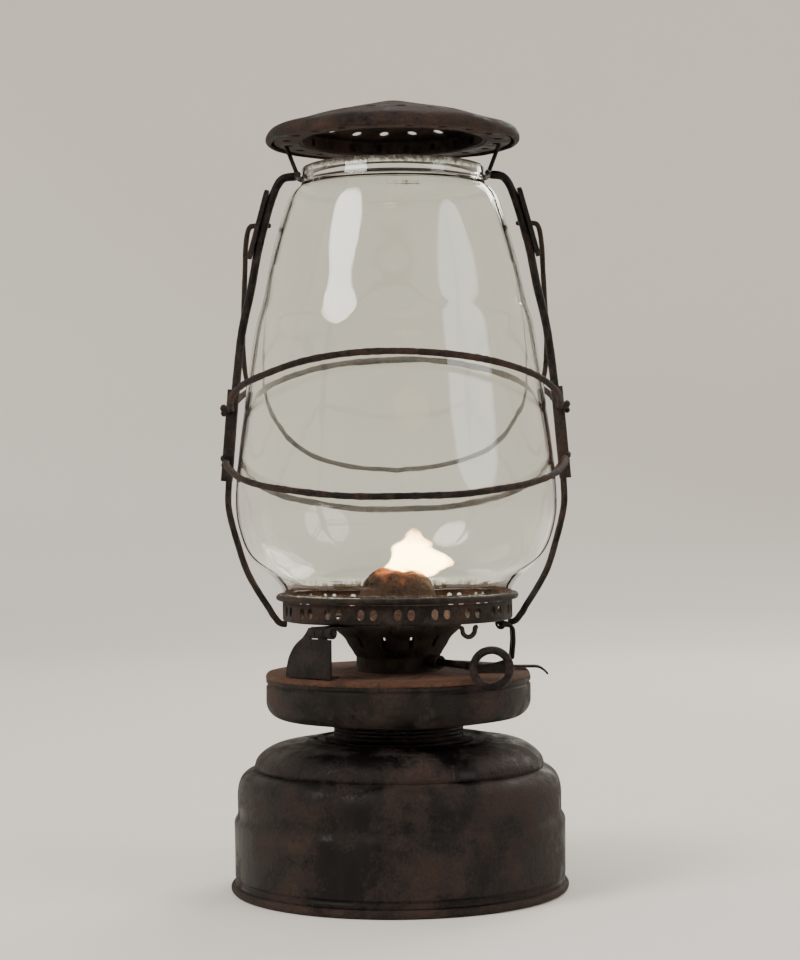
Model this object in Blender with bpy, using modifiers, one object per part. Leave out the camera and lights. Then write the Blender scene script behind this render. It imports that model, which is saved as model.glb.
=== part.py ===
"""Old kerosene lantern of blackened tinplate, with a clear glass globe in a wire frame.

The fount stands on the ground. The head (drum and burner) screws onto it, the gallery
with the globe and frame tips over on a hinge at the head's front left, a wire link holds
it shut on the right, the bail swings over the hood, and the hood lifts off.
Metres, +Z up, the front of the lantern towards -Y.
"""

import math

import bmesh
import bpy
from mathutils import Matrix, Vector

# ---------------------------------------------------------------- fits and steps
SEAT_GAP = 0.0003
RUN_GAP = 0.0003
LOOSE_GAP = 0.0006
SHEET = 0.0008
ROUND_STEPS = 28
MID_STEPS = 24

# ---------------------------------------------------------------- fount
TANK_RADIUS = 0.0630
TANK_UPPER_RADIUS = 0.0615
TANK_TIER_RADIUS = 0.0550
TANK_HEIGHT = 0.0563
TANK_STEP_HEIGHT = 0.0270
TANK_SHOULDER_HEIGHT = 0.0370
TANK_TIER_HEIGHT = 0.0463
TANK_TIER_WALL = 0.0034
FOOT_BEAD = 0.0010
FOOT_HEIGHT = 0.0034
COLLAR_RADIUS = 0.0246
COLLAR_WALL = 0.0030
COLLAR_RISE = 0.0071
COLLAR_DEPTH = 0.0045
COLLAR_FLANGE = 0.0034
GASKET_THICKNESS = 0.0010

# ---------------------------------------------------------------- head: drum and burner
DRUM_RADIUS = 0.0503
DRUM_HEIGHT = 0.0175
DRUM_BOTTOM_ROUND = 0.0070
DRUM_LID_HEIGHT = 0.0022
DRUM_LID_ROUND = 0.0019
FERRULE_WALL = 0.0012
FERRULE_DEPTH = 0.0090
FERRULE_FLANGE = 0.0035
NECK_RADIUS = 0.0158
NECK_HEIGHT = 0.0055
NECK_DEPTH = 0.0040
BOWL_RADIUS = 0.0243
BOWL_HEIGHT = 0.0190
AIR_PLATE_DROP = 0.0010
BOWL_SLOTS = 12
BOWL_SLOT_WIDTH = 0.0014
CONE_TOP_HEIGHT = 0.0408
CONE_WALL = 0.0006
CONE_SLOT_LENGTH = 0.0160
CONE_SLOT_WIDTH = 0.0044
PLATE_HOLES = 16
PLATE_HOLE_RADIUS = 0.0011

# ---------------------------------------------------------------- wick and winder
WICK_WIDTH = 0.0120
WICK_THICKNESS = 0.0020
WICK_TAIL_HEIGHT = 0.0100
WICK_TIP_HEIGHT = 0.0325
WICK_TUBE_WALL = 0.0005
WICK_TUBE_TOP = 0.0290
WICK_TUBE_DEPTH = 0.0120
WINDER_ANGLE = math.radians(-59.0)
WINDER_HEIGHT = 0.0042
SPINDLE_RADIUS = 0.0014
SPUR_RADIUS = 0.0035
SPUR_WIDTH = 0.0012
SPUR_TEETH = 10
SPUR_SPACING = 0.0066
SLEEVE_LENGTH = 0.0060
SLEEVE_WALL = 0.0009
RING_CLEARANCE = 0.0022
RING_RADIUS = 0.0066
RING_WIRE = 0.0015
RING_BAR_THICKNESS = 0.0012

# ---------------------------------------------------------------- hinge and latch
HINGE_ANGLE = math.radians(229.0)
HINGE_INSET = 0.0024
HINGE_DROP = 0.0023
HINGE_PIN_RADIUS = 0.0008
HINGE_KNUCKLE_WALL = 0.0010
HINGE_KNUCKLE_LENGTH = 0.0040
HINGE_SIDE = 0.00575
HINGE_TOP_WIDTH = 0.0104
FIN_WIDTH = 0.0224
FIN_RIGHT = 0.0040
FIN_NARROWING = 0.0082
FIN_CURVE = ((0.0, 0.0), (0.05, 0.22), (0.22, 0.53), (0.52, 0.79), (0.83, 0.94), (1.0, 1.0))
HINGE_PLATE = 0.0012
LATCH_WIRE = 0.0008
LATCH_HALF_WIDTH = 0.0060
LATCH_LUG_WALL = 0.0008
LATCH_LUG_INSET = 0.0046
LATCH_REACH = 0.0046
LATCH_FOOT_GAP = 0.0040
TONGUE_WIDTH = 0.0060
TONGUE_LENGTH = 0.0310
TONGUE_OVERHANG = 0.0066
TONGUE_DROP = 0.0026
TAB_ANGLE = math.radians(-52.0)
TAB_WIDTH = 0.0058
TAB_DROP = 0.0056
TAB_WIRE = 0.0009

# ---------------------------------------------------------------- gallery and globe
GALLERY_LIFT = 0.0194
GALLERY_RADIUS = 0.0436
GALLERY_DEPTH = 0.0074
GALLERY_ROUND = 0.0010
GALLERY_HOLE_PAIRS = 20
GALLERY_HOLE_WIDTH = 0.0030
GALLERY_HOLE_HEIGHT = 0.0042
GALLERY_HOLE_TURN = math.radians(93.5)
GALLERY_PAIR_ANGLE = math.radians(6.3)
GALLERY_FLOOR_GAP = 0.0022
RIM_WIRE = 0.00125
GLASS = 0.0024
GLOBE_FOOT_RADIUS = 0.0433
GLOBE_BELLY_RADIUS = 0.0610
GLOBE_BELLY_HEIGHT = 0.0390
GLOBE_NECK_RADIUS = 0.0346
GLOBE_NECK_HEIGHT = 0.0045
GLOBE_HEIGHT = 0.1640

# ---------------------------------------------------------------- wire frame, straps and guards
FRAME_WIRE = 0.0016
FRAME_WIRE_LOW = 0.00125
NECK_RING_WIRE = 0.0011
NECK_RING_RISE = 0.0018
NECK_RING_LAP = math.radians(12.0)
STRUT_WIRE = 0.0008
STRUT_SPREAD = 0.0044
STRAP_SHEET = 0.0008
STRAP_FIT = 0.0005
STRAP_LOW = 0.0450
STRAP_LENGTH = 0.0350
GUARD_WIRE = 0.0013
GUARD_DEPTH = 0.0660
GUARD_UPPER_HEIGHT = 0.0720
GUARD_UPPER_BOW_FRONT = 0.0180
GUARD_UPPER_BOW_REAR = 0.0220
GUARD_LOWER_HEIGHT = 0.0530
GUARD_LOWER_BOW_FRONT = -0.0140
GUARD_LOWER_BOW_REAR = -0.0200
EAR_SHEET = 0.0012
EAR_HEIGHT = 0.0220
EAR_BACK = 0.0042
EAR_PIVOT_HEIGHT = 0.1427

# ---------------------------------------------------------------- bail
BAIL_WIRE = 0.0010
BAIL_LENGTH = 0.1200
BAIL_BULGE = 0.0068
BAIL_REST_ANGLE = math.radians(38.7)
BAIL_TIP = 0.0050

# ---------------------------------------------------------------- hood
HOOD_RADIUS = 0.0483
HOOD_LIFT = 0.0086
HOOD_RIM_HEIGHT = 0.0046
HOOD_RIM_ROUND = 0.0018
HOOD_HEIGHT = 0.0165
HOOD_CROWN_RADIUS = 0.0090
HOOD_CROWN_RISE = 0.0014
HOOD_HOLES = 18
HOOD_HOLE_CIRCLE = 0.0320
HOOD_HOLE_TURN = math.radians(16.0)
HOOD_HOLE_RADIUS = 0.0020
HOOD_HOLE_DROP = 0.0075
HOOD_HOLE_DEPTH = 0.0080
HOOD_HOLE_STRETCH = (1.15, 0.95, 1.0, 1.0)
SKIRT_INSET = 0.0034
SKIRT_LIFT = 0.0008
SKIRT_INNER_RADIUS = 0.0356
SKIRT_HOLES = 20
SKIRT_HOLE_RADIUS = 0.0016
DEFLECTOR_RADIUS = 0.0352
DEFLECTOR_HEIGHT = 0.0050
DEFLECTOR_SLOTS = 20
DEFLECTOR_SLOT_WIDTH = 0.0026
DEFLECTOR_SLOT_SHARE = 0.6

# ---------------------------------------------------------------- levels that follow
TANK_TOP = TANK_HEIGHT
COLLAR_TOP = TANK_TOP + COLLAR_RISE
DRUM_BOTTOM = COLLAR_TOP + 2 * SEAT_GAP + GASKET_THICKNESS
DRUM_TOP = DRUM_BOTTOM + DRUM_HEIGHT
GALLERY_BOTTOM = DRUM_TOP + GALLERY_LIFT
GALLERY_TOP = GALLERY_BOTTOM + GALLERY_DEPTH
GLOBE_BOTTOM = GALLERY_TOP + SEAT_GAP
GLOBE_TOP = GLOBE_BOTTOM + GLOBE_HEIGHT
HOOD_BOTTOM = GLOBE_TOP + HOOD_LIFT
HOOD_TOP = HOOD_BOTTOM + HOOD_HEIGHT
BAIL_PIVOT = GLOBE_BOTTOM + EAR_PIVOT_HEIGHT

BLACKENED = (0.055, 0.042, 0.035)
RUSTED = (0.16, 0.065, 0.03)
WORN = (0.11, 0.07, 0.045)


def clear_scene():
    for obj in list(bpy.data.objects):
        bpy.data.objects.remove(obj, do_unlink=True)


def new_collection(name):
    collection = bpy.data.collections.new(name)
    bpy.context.scene.collection.children.link(collection)
    return collection


clear_scene()
LANTERN = new_collection("oil_lantern")
CUTTERS = new_collection("cutters")


def paint(obj, name, colour, roughness=0.7, metallic=0.6, alpha=1.0):
    material = bpy.data.materials.new(name)
    material.use_nodes = True
    shader = material.node_tree.nodes["Principled BSDF"]
    shader.inputs["Base Color"].default_value = (*colour, 1.0)
    shader.inputs["Roughness"].default_value = roughness
    shader.inputs["Metallic"].default_value = metallic
    shader.inputs["Alpha"].default_value = alpha
    obj.data.materials.append(material)


def shade_round(obj, angle=40.0):
    for face in obj.data.polygons:
        face.use_smooth = True
    obj.data.set_sharp_from_angle(angle=math.radians(angle))


def add_mesh(name, form, collection=LANTERN):
    mesh = bpy.data.meshes.new(name)
    form.to_mesh(mesh)
    form.free()
    obj = bpy.data.objects.new(name, mesh)
    collection.objects.link(obj)
    return obj


def empty(name, location):
    holder = bpy.data.objects.new(name, None)
    holder.location = location
    LANTERN.objects.link(holder)
    return holder


def arc(centre_r, centre_z, radius, start, end, steps):
    """Points of an arc in the profile plane, angles in degrees from +R towards +Z."""
    points = []
    for i in range(steps + 1):
        angle = math.radians(start + (end - start) * i / steps)
        points.append((centre_r + radius * math.cos(angle), centre_z + radius * math.sin(angle)))
    return points


def smooth_through(stations, per_span):
    """A Catmull-Rom curve through the stations, which may be 2D or 3D."""
    knots = [Vector(p) for p in stations]
    knots = [2 * knots[0] - knots[1]] + knots + [2 * knots[-1] - knots[-2]]
    points = []
    for i in range(1, len(knots) - 2):
        a, b, c, d = knots[i - 1:i + 3]
        for step in range(per_span):
            t = step / per_span
            points.append(0.5 * (2 * b + (c - a) * t + (2 * a - 5 * b + 4 * c - d) * t * t
                                 + (3 * b - 3 * c + d - a) * t * t * t))
    points.append(knots[-2])
    return [tuple(p) for p in points]


def turned(name, profile, wall=None, steps=ROUND_STEPS, closed=False):
    """A profile spun round Z. It runs down the outer side; a wall thickens it inwards."""
    form = bmesh.new()
    rings = [form.verts.new((r, 0, z)) for r, z in profile]
    for upper, lower in zip(rings, rings[1:]):
        form.edges.new((upper, lower))
    if closed:
        form.edges.new((rings[-1], rings[0]))
    obj = add_mesh(name, form)
    spin = obj.modifiers.new("Turn", "SCREW")
    spin.steps = steps
    spin.render_steps = steps
    spin.use_merge_vertices = True
    spin.merge_threshold = 0.00001
    spin.use_smooth_shade = True
    if wall:
        shell = obj.modifiers.new("Wall", "SOLIDIFY")
        shell.thickness = wall
        shell.offset = -1
        shell.use_even_offset = True
    return obj


def wire(name, points, radius, cyclic=False, sides=1, radii=None):
    curve = bpy.data.curves.new(name, "CURVE")
    curve.dimensions = "3D"
    curve.bevel_depth = radius
    curve.bevel_resolution = sides
    curve.use_fill_caps = not cyclic
    spline = curve.splines.new("POLY")
    spline.points.add(len(points) - 1)
    spline.use_cyclic_u = cyclic
    for i, point in enumerate(points):
        spline.points[i].co = (*point, 1.0)
        if radii:
            spline.points[i].radius = radii[i] / radius
    obj = bpy.data.objects.new(name, curve)
    LANTERN.objects.link(obj)
    return obj


def plate(name, outlines, thickness):
    """A flat piece in the XY plane of its object, with any inner outlines as holes."""
    curve = bpy.data.curves.new(name, "CURVE")
    curve.dimensions = "2D"
    curve.fill_mode = "BOTH"
    curve.extrude = thickness / 2
    for outline in outlines:
        spline = curve.splines.new("POLY")
        spline.points.add(len(outline) - 1)
        spline.use_cyclic_u = True
        for i, (x, y) in enumerate(outline):
            spline.points[i].co = (x, y, 0.0, 1.0)
    obj = bpy.data.objects.new(name, curve)
    LANTERN.objects.link(obj)
    return obj


def made_mesh(obj):
    """The same object as a mesh, so that it can be cut."""
    bpy.context.view_layer.update()
    depsgraph = bpy.context.evaluated_depsgraph_get()
    mesh = bpy.data.meshes.new_from_object(obj.evaluated_get(depsgraph))
    mesh.name = obj.name
    form = bmesh.new()
    form.from_mesh(mesh)
    bmesh.ops.remove_doubles(form, verts=form.verts, dist=0.000001)
    form.to_mesh(mesh)
    form.free()
    name, matrix, parent = obj.name, obj.matrix_world.copy(), obj.parent
    bpy.data.objects.remove(obj, do_unlink=True)
    mesh_obj = bpy.data.objects.new(name, mesh)
    mesh_obj.parent = parent
    LANTERN.objects.link(mesh_obj)
    mesh_obj.matrix_world = matrix
    return mesh_obj


def cut(obj, form, name):
    cutter = add_mesh(name, form, CUTTERS)
    cutter.hide_render = True
    cutter.display_type = "WIRE"
    trim = obj.modifiers.new(name, "BOOLEAN")
    trim.operation = "DIFFERENCE"
    trim.solver = "EXACT"
    trim.object = cutter


def add_box(form, size, matrix):
    bmesh.ops.create_cube(form, size=1.0, matrix=matrix @ Matrix.Diagonal((*size, 1.0)))


def add_rod(form, radius, length, matrix, sides=12):
    bmesh.ops.create_cone(form, cap_ends=True, segments=sides, radius1=radius, radius2=radius,
                          depth=length, matrix=matrix)


def around(angle, radius, height=0.0):
    """A frame turned about Z, with its X axis outwards, at that radius and height."""
    return Matrix.Rotation(angle, 4, "Z") @ Matrix.Translation((radius, 0, height))


LAY_ALONG_X = Matrix.Rotation(math.pi / 2, 4, "Y")
LAY_ALONG_Y = Matrix.Rotation(math.pi / 2, 4, "X")


# ================================================================ fount
def build_foot_ring():
    inner = TANK_RADIUS - SHEET
    outer = TANK_RADIUS + FOOT_BEAD
    profile = arc(outer - FOOT_HEIGHT / 2, FOOT_HEIGHT / 2, FOOT_HEIGHT / 2, 60, -60, 4)
    profile = [(inner, FOOT_HEIGHT)] + profile + [(outer - FOOT_HEIGHT / 2, 0), (inner, 0)]
    ring = turned("foot_ring", profile, closed=True)
    paint(ring, "foot_ring_rust", RUSTED, 0.85, 0.3)


def build_tank_bottom():
    radius = TANK_RADIUS - SHEET - LOOSE_GAP
    form = bmesh.new()
    add_rod(form, radius, SHEET, Matrix.Translation((0, 0, SHEET / 2)), ROUND_STEPS)
    bottom = add_mesh("tank_bottom", form)
    paint(bottom, "tank_bottom_rust", RUSTED, 0.9, 0.3)


def build_tank_shell():
    shoulder = TANK_UPPER_RADIUS - TANK_TIER_RADIUS
    rise = TANK_TIER_HEIGHT - TANK_SHOULDER_HEIGHT
    tier_top = TANK_TIER_HEIGHT + TANK_TIER_WALL
    crown = TANK_HEIGHT - tier_top
    hole = COLLAR_RADIUS + LOOSE_GAP
    profile = [(hole, TANK_HEIGHT), (TANK_TIER_RADIUS - 2.6 * crown, TANK_HEIGHT - 0.0004)]
    for r, z in arc(0, 0, 1, 75, 0, 4):
        profile.append((TANK_TIER_RADIUS - 1.8 * crown * (1 - r), tier_top + crown * 0.86 * z))
    profile.append((TANK_TIER_RADIUS, TANK_TIER_HEIGHT))
    for r, z in arc(0, 0, 1, 75, 0, 5):
        profile.append((TANK_UPPER_RADIUS - shoulder * (1 - r), TANK_SHOULDER_HEIGHT + rise * 0.96 * z))
    step = TANK_RADIUS - TANK_UPPER_RADIUS
    profile += [(TANK_UPPER_RADIUS, TANK_STEP_HEIGHT + step), (TANK_RADIUS, TANK_STEP_HEIGHT),
                (TANK_RADIUS, FOOT_HEIGHT + SEAT_GAP)]
    shell = turned("tank_shell", profile, SHEET)
    paint(shell, "tank_blackened", BLACKENED, 0.55, 0.6)


def build_collar():
    inner = COLLAR_RADIUS - COLLAR_WALL
    flange = TANK_TOP + SEAT_GAP
    profile = [(inner, COLLAR_TOP), (COLLAR_RADIUS - SHEET / 2, COLLAR_TOP),
               (COLLAR_RADIUS, COLLAR_TOP - SHEET / 2), (COLLAR_RADIUS, flange + SHEET),
               (COLLAR_RADIUS + COLLAR_FLANGE, flange + SHEET), (COLLAR_RADIUS + COLLAR_FLANGE, flange),
               (COLLAR_RADIUS, flange), (COLLAR_RADIUS, TANK_TOP - COLLAR_DEPTH),
               (inner, TANK_TOP - COLLAR_DEPTH)]
    collar = turned("tank_collar", profile, closed=True, steps=MID_STEPS)
    paint(collar, "collar_blackened", BLACKENED, 0.6, 0.7)


def build_gasket():
    base = COLLAR_TOP + SEAT_GAP
    inner = COLLAR_RADIUS - COLLAR_WALL
    outer = COLLAR_RADIUS - SHEET / 2
    top = base + GASKET_THICKNESS
    profile = [(inner, top), (outer, top), (outer, base), (inner, base)]
    gasket = turned("collar_gasket", profile, closed=True, steps=MID_STEPS)
    paint(gasket, "gasket_cork", (0.2, 0.12, 0.07), 0.95, 0.0)


# ================================================================ head
FERRULE_RADIUS = COLLAR_RADIUS - COLLAR_WALL - LOOSE_GAP


def build_drum():
    hole = FERRULE_RADIUS + SEAT_GAP
    lid_edge = DRUM_TOP - DRUM_LID_HEIGHT
    bend = DRUM_BOTTOM_ROUND
    corner = arc(DRUM_RADIUS - bend, DRUM_BOTTOM + bend, bend, 0, -90, 5)
    can = turned("drum_shell", [(DRUM_RADIUS, lid_edge)] + corner + [(hole, DRUM_BOTTOM)], SHEET)
    paint(can, "drum_blackened", BLACKENED, 0.6, 0.6)

    edge = arc(DRUM_RADIUS - DRUM_LID_ROUND, DRUM_TOP - DRUM_LID_ROUND, DRUM_LID_ROUND, 90, 0, 4)
    lid = turned("drum_lid", [(NECK_RADIUS + SEAT_GAP, DRUM_TOP)] + edge, SHEET)
    paint(lid, "drum_lid_rust", RUSTED, 0.95, 0.2)


def build_ferrule():
    inner = FERRULE_RADIUS - FERRULE_WALL
    seat = DRUM_BOTTOM + SHEET + SEAT_GAP
    flange = FERRULE_RADIUS + FERRULE_FLANGE
    low = DRUM_BOTTOM - FERRULE_DEPTH
    profile = [(inner, seat + SHEET), (flange, seat + SHEET), (flange, seat), (FERRULE_RADIUS, seat),
               (FERRULE_RADIUS, low), (inner, low)]
    ferrule = turned("screw_ferrule", profile, closed=True, steps=MID_STEPS)
    paint(ferrule, "ferrule_brass", (0.3, 0.2, 0.08), 0.5, 0.9)


def bowl_outline():
    flare = [(NECK_RADIUS, DRUM_TOP + NECK_HEIGHT),
             (NECK_RADIUS + 0.0013, DRUM_TOP + NECK_HEIGHT + 0.0032),
             (NECK_RADIUS + 0.0042, DRUM_TOP + NECK_HEIGHT + 0.0066),
             (BOWL_RADIUS - 0.0014, DRUM_TOP + BOWL_HEIGHT - 0.0040),
             (BOWL_RADIUS, DRUM_TOP + BOWL_HEIGHT - 0.0016)]
    return [(BOWL_RADIUS, DRUM_TOP + BOWL_HEIGHT)] + flare[::-1] + [(NECK_RADIUS, DRUM_TOP - NECK_DEPTH)]


def build_burner_cup():
    cup = turned("burner_cup", bowl_outline(), SHEET, steps=MID_STEPS)
    form = bmesh.new()
    middle = (NECK_RADIUS + BOWL_RADIUS) / 2
    for i in range(BOWL_SLOTS):
        angle = 2 * math.pi * (i + 0.5) / BOWL_SLOTS
        place = around(angle, middle, DRUM_TOP + BOWL_HEIGHT - 0.0075)
        lean = Matrix.Rotation(math.radians(40), 4, "Y")
        add_box(form, (0.0060, BOWL_SLOT_WIDTH, 0.0052), place @ lean)
    cut(cup, form, "bowl_slots")
    bore = bmesh.new()
    add_rod(bore, SPINDLE_RADIUS + RUN_GAP, BOWL_RADIUS, winder_frame(NECK_RADIUS) @ LAY_ALONG_X)
    cut(cup, bore, "spindle_hole")
    paint(cup, "burner_brass_dark", WORN, 0.6, 0.8)


def winder_frame(along, across=0.0, height=0.0):
    """On the spindle's line: X runs outwards along the spindle, Y to its left."""
    offset = WICK_THICKNESS / 2 + SPUR_RADIUS + SEAT_GAP
    line = Matrix.Rotation(WINDER_ANGLE, 4, "Z")
    return line @ Matrix.Translation((along, offset + across, DRUM_TOP + WINDER_HEIGHT + height))


def rounded_slot(length, width, steps=3):
    """A flat ring's outline: straight sides along X and round ends."""
    radius = width / 2
    reach = length / 2 - radius
    points = []
    for side in (1, -1):
        for x, y in arc(0, 0, radius, -90, 90, 2 * steps):
            points.append((side * (reach + x), side * y))
    return points


def build_wick_tube():
    inside = (WICK_WIDTH + 2 * LOOSE_GAP, WICK_THICKNESS + 2 * LOOSE_GAP)
    outside = (inside[0] + 2 * WICK_TUBE_WALL, inside[1] + 2 * WICK_TUBE_WALL)
    length = WICK_TUBE_TOP + WICK_TUBE_DEPTH
    tube = plate("wick_tube", [rounded_slot(*outside), rounded_slot(*inside)], length)
    tube.location = (0, 0, DRUM_TOP + (WICK_TUBE_TOP - WICK_TUBE_DEPTH) / 2)
    tube.rotation_euler = (0, 0, WINDER_ANGLE)
    tube = made_mesh(tube)
    form = bmesh.new()
    for along in (-SPUR_SPACING / 2, SPUR_SPACING / 2):
        window = (SPUR_WIDTH + 2 * LOOSE_GAP, outside[1], 2 * (SPUR_RADIUS + LOOSE_GAP))
        add_box(form, window, winder_frame(along, -SPUR_RADIUS + 0.0010))
    cut(tube, form, "spur_windows")
    paint(tube, "wick_tube_brass", WORN, 0.5, 0.9)


def build_burner_plate():
    level = DRUM_TOP + BOWL_HEIGHT - AIR_PLATE_DROP
    radius = BOWL_RADIUS - SHEET - LOOSE_GAP
    form = bmesh.new()
    add_rod(form, radius, SHEET, Matrix.Translation((0, 0, level)), MID_STEPS)
    disc = add_mesh("air_plate", form)
    holes = bmesh.new()
    for i in range(PLATE_HOLES):
        place = around(2 * math.pi * i / PLATE_HOLES, radius * 0.78, level)
        add_rod(holes, PLATE_HOLE_RADIUS, 3 * SHEET, place, 6)
    slot_length = WICK_WIDTH + 4 * LOOSE_GAP + 2 * WICK_TUBE_WALL + SEAT_GAP
    slot_width = WICK_THICKNESS + 2 * LOOSE_GAP + 2 * WICK_TUBE_WALL + 2 * SEAT_GAP
    add_box(holes, (slot_length, slot_width, 3 * SHEET), around(WINDER_ANGLE, 0, level))
    cut(disc, holes, "air_holes")
    paint(disc, "air_plate_brass", WORN, 0.6, 0.8)


def build_burner_cone():
    foot = DRUM_TOP + BOWL_HEIGHT - AIR_PLATE_DROP + SHEET / 2 + SEAT_GAP
    top = DRUM_TOP + CONE_TOP_HEIGHT
    rim = BOWL_RADIUS - SHEET - LOOSE_GAP
    profile = [(0.0, top), (0.0055, top - 0.0007), (0.0100, top - 0.0032), (0.0132, top - 0.0080),
               (0.0146, top - 0.0125), (0.0172, top - 0.0170),
                (rim - 0.0016, foot + 0.0014), (rim, foot + CONE_WALL)]
    cone = turned("burner_cone", profile, CONE_WALL, steps=MID_STEPS)
    form = bmesh.new()
    add_box(form, (CONE_SLOT_LENGTH, CONE_SLOT_WIDTH, 0.0120), around(WINDER_ANGLE, 0, top))
    cut(cone, form, "flame_slot")
    paint(cone, "cone_rust", RUSTED, 0.9, 0.3)


def build_sleeve():
    inner = SPINDLE_RADIUS + RUN_GAP
    outer = inner + SLEEVE_WALL
    start = NECK_RADIUS + LOOSE_GAP
    form = bmesh.new()
    place = winder_frame(start + SLEEVE_LENGTH / 2) @ LAY_ALONG_X
    add_rod(form, outer, SLEEVE_LENGTH, place, 16)
    sleeve = add_mesh("winder_sleeve", form)
    bore = bmesh.new()
    add_rod(bore, inner, 2 * SLEEVE_LENGTH, place, 16)
    cut(sleeve, bore, "sleeve_bore")
    paint(sleeve, "sleeve_brass", WORN, 0.5, 0.9)


# ================================================================ wick and winder
def build_wick():
    top = DRUM_TOP + WICK_TIP_HEIGHT
    form = bmesh.new()
    add_box(form, (WICK_WIDTH, WICK_THICKNESS, top - WICK_TAIL_HEIGHT),
            around(WINDER_ANGLE, 0, (top + WICK_TAIL_HEIGHT) / 2))
    wick = add_mesh("wick", form)
    paint(wick, "wick_cotton", (0.35, 0.28, 0.2), 0.95, 0.0)


def ring_distance():
    """How far out the ring's centre is, so that it turns just clear of the drum."""
    lean = math.cos(WINDER_ANGLE)
    return DRUM_RADIUS + RING_CLEARANCE + RING_WIRE + RING_RADIUS * lean


def build_winder():
    centre = winder_frame(ring_distance()).translation
    pivot = empty("winder_axis", centre)
    bar_back = RING_WIRE + SEAT_GAP
    bar_middle = bar_back + RING_BAR_THICKNESS / 2
    start = -WICK_WIDTH / 2 - 0.0020
    direction = Vector((math.cos(WINDER_ANGLE), math.sin(WINDER_ANGLE), 0))
    reach = bar_middle / -direction.y

    form = bmesh.new()
    length = ring_distance() - reach - start
    line = Matrix.Rotation(WINDER_ANGLE, 4, "Z") @ LAY_ALONG_X
    add_rod(form, SPINDLE_RADIUS, length, Matrix.Translation(-direction * (reach + length / 2)) @ line, 12)
    spindle = add_mesh("winder_spindle", form)
    spindle.parent = pivot
    join = spindle.modifiers.new("Crossbar", "BOOLEAN")
    join.operation = "UNION"
    join.solver = "EXACT"
    half = RING_RADIUS + RING_WIRE * 0.8
    bar = plate("winder_crossbar", [[(-half, -0.0017), (half, -0.0017), (half, 0.0029), (0.0040, 0.0029),
                                     (-0.0030, 0.0012), (-half, 0.0012)]], RING_BAR_THICKNESS)
    bar.rotation_euler = (math.pi / 2, 0, 0)
    bar.location = centre + Vector((0, bar_middle, 0))
    bar = made_mesh(bar)
    LANTERN.objects.unlink(bar)
    CUTTERS.objects.link(bar)
    bar.hide_render = True
    bar.display_type = "WIRE"
    join.object = bar
    paint(spindle, "spindle_steel", BLACKENED, 0.5, 0.8)

    around_ring = [(x, 0, z) for x, z in arc(0, 0, RING_RADIUS, 0, 342, 19)]
    ring = wire("winder_ring", around_ring, RING_WIRE, cyclic=True, sides=2)
    ring.parent = pivot
    paint(ring, "winder_ring_steel", BLACKENED, 0.45, 0.8)


def build_spur_wheels():
    for i, along in enumerate((-SPUR_SPACING / 2, SPUR_SPACING / 2)):
        outline = []
        for tooth in range(SPUR_TEETH):
            for share, radius in ((0.0, SPUR_RADIUS - 0.0008), (0.45, SPUR_RADIUS)):
                angle = 2 * math.pi * (tooth + share) / SPUR_TEETH
                outline.append((radius * math.cos(angle), radius * math.sin(angle)))
        bore = [(r, z) for r, z in arc(0, 0, SPINDLE_RADIUS + SEAT_GAP, 0, 330, 11)]
        wheel = plate(f"spur_wheel_{i + 1}", [outline, bore], SPUR_WIDTH)
        wheel.matrix_world = winder_frame(along) @ LAY_ALONG_X
        paint(wheel, f"spur_{i + 1}_steel", WORN, 0.5, 0.9)


# ================================================================ hinge and latch
HINGE_RADIUS = DRUM_RADIUS - HINGE_INSET
HINGE_LEVEL = GALLERY_BOTTOM - HINGE_DROP
KNUCKLE_RADIUS = HINGE_PIN_RADIUS + RUN_GAP + HINGE_KNUCKLE_WALL


def hinge_frame():
    """At the middle of the hinge pin: X outwards from the lantern, Y along the pin."""
    return around(HINGE_ANGLE, HINGE_RADIUS, HINGE_LEVEL) @ Matrix.Translation((0, HINGE_SIDE, 0))


def knuckle(form, across, length):
    add_rod(form, KNUCKLE_RADIUS, length, Matrix.Translation((0, across, 0)) @ LAY_ALONG_Y, 16)


def bore_knuckle(obj, name, length):
    form = bmesh.new()
    add_rod(form, HINGE_PIN_RADIUS + RUN_GAP, length, hinge_frame() @ LAY_ALONG_Y, 16)
    cut(obj, form, name)


def build_hinge():
    place = hinge_frame()
    foot = DRUM_TOP + SEAT_GAP - HINGE_LEVEL
    neck = -KNUCKLE_RADIUS - SEAT_GAP
    right = FIN_RIGHT
    left = right - FIN_WIDTH
    curved = [(left + FIN_NARROWING * inset, foot + (neck - foot) * share) for inset, share in FIN_CURVE]
    half = HINGE_KNUCKLE_LENGTH / 2
    straight = [(right, foot), (right, neck), (half, neck), (half, 0), (-half, 0), (-half, neck)]
    outline = straight + curved[::-1]
    leaf = plate("hinge_bracket", [outline], HINGE_PLATE)
    leaf.matrix_world = place @ Matrix.Rotation(math.pi / 2, 4, "Z") @ Matrix.Rotation(math.pi / 2, 4, "X")
    leaf = made_mesh(leaf)
    form = bmesh.new()
    knuckle(form, 0, HINGE_KNUCKLE_LENGTH)
    bmesh.ops.transform(form, matrix=place, verts=form.verts)
    roll = add_mesh("hinge_bracket_roll", form, CUTTERS)
    roll.hide_render = True
    roll.display_type = "WIRE"
    join = leaf.modifiers.new("Roll", "BOOLEAN")
    join.operation = "UNION"
    join.solver = "EXACT"
    join.object = roll
    bore_knuckle(leaf, "hinge_bracket_bore", 2 * HINGE_KNUCKLE_LENGTH)
    paint(leaf, "hinge_bracket_black", BLACKENED, 0.6, 0.6)

    form = bmesh.new()
    length = HINGE_TOP_WIDTH + 2 * LOOSE_GAP
    add_rod(form, HINGE_PIN_RADIUS, length, Matrix.Identity(4), 12)
    pin = add_mesh("hinge_pin", form)
    pin.matrix_world = place @ LAY_ALONG_Y
    paint(pin, "hinge_pin_steel", WORN, 0.5, 0.8)


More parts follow.
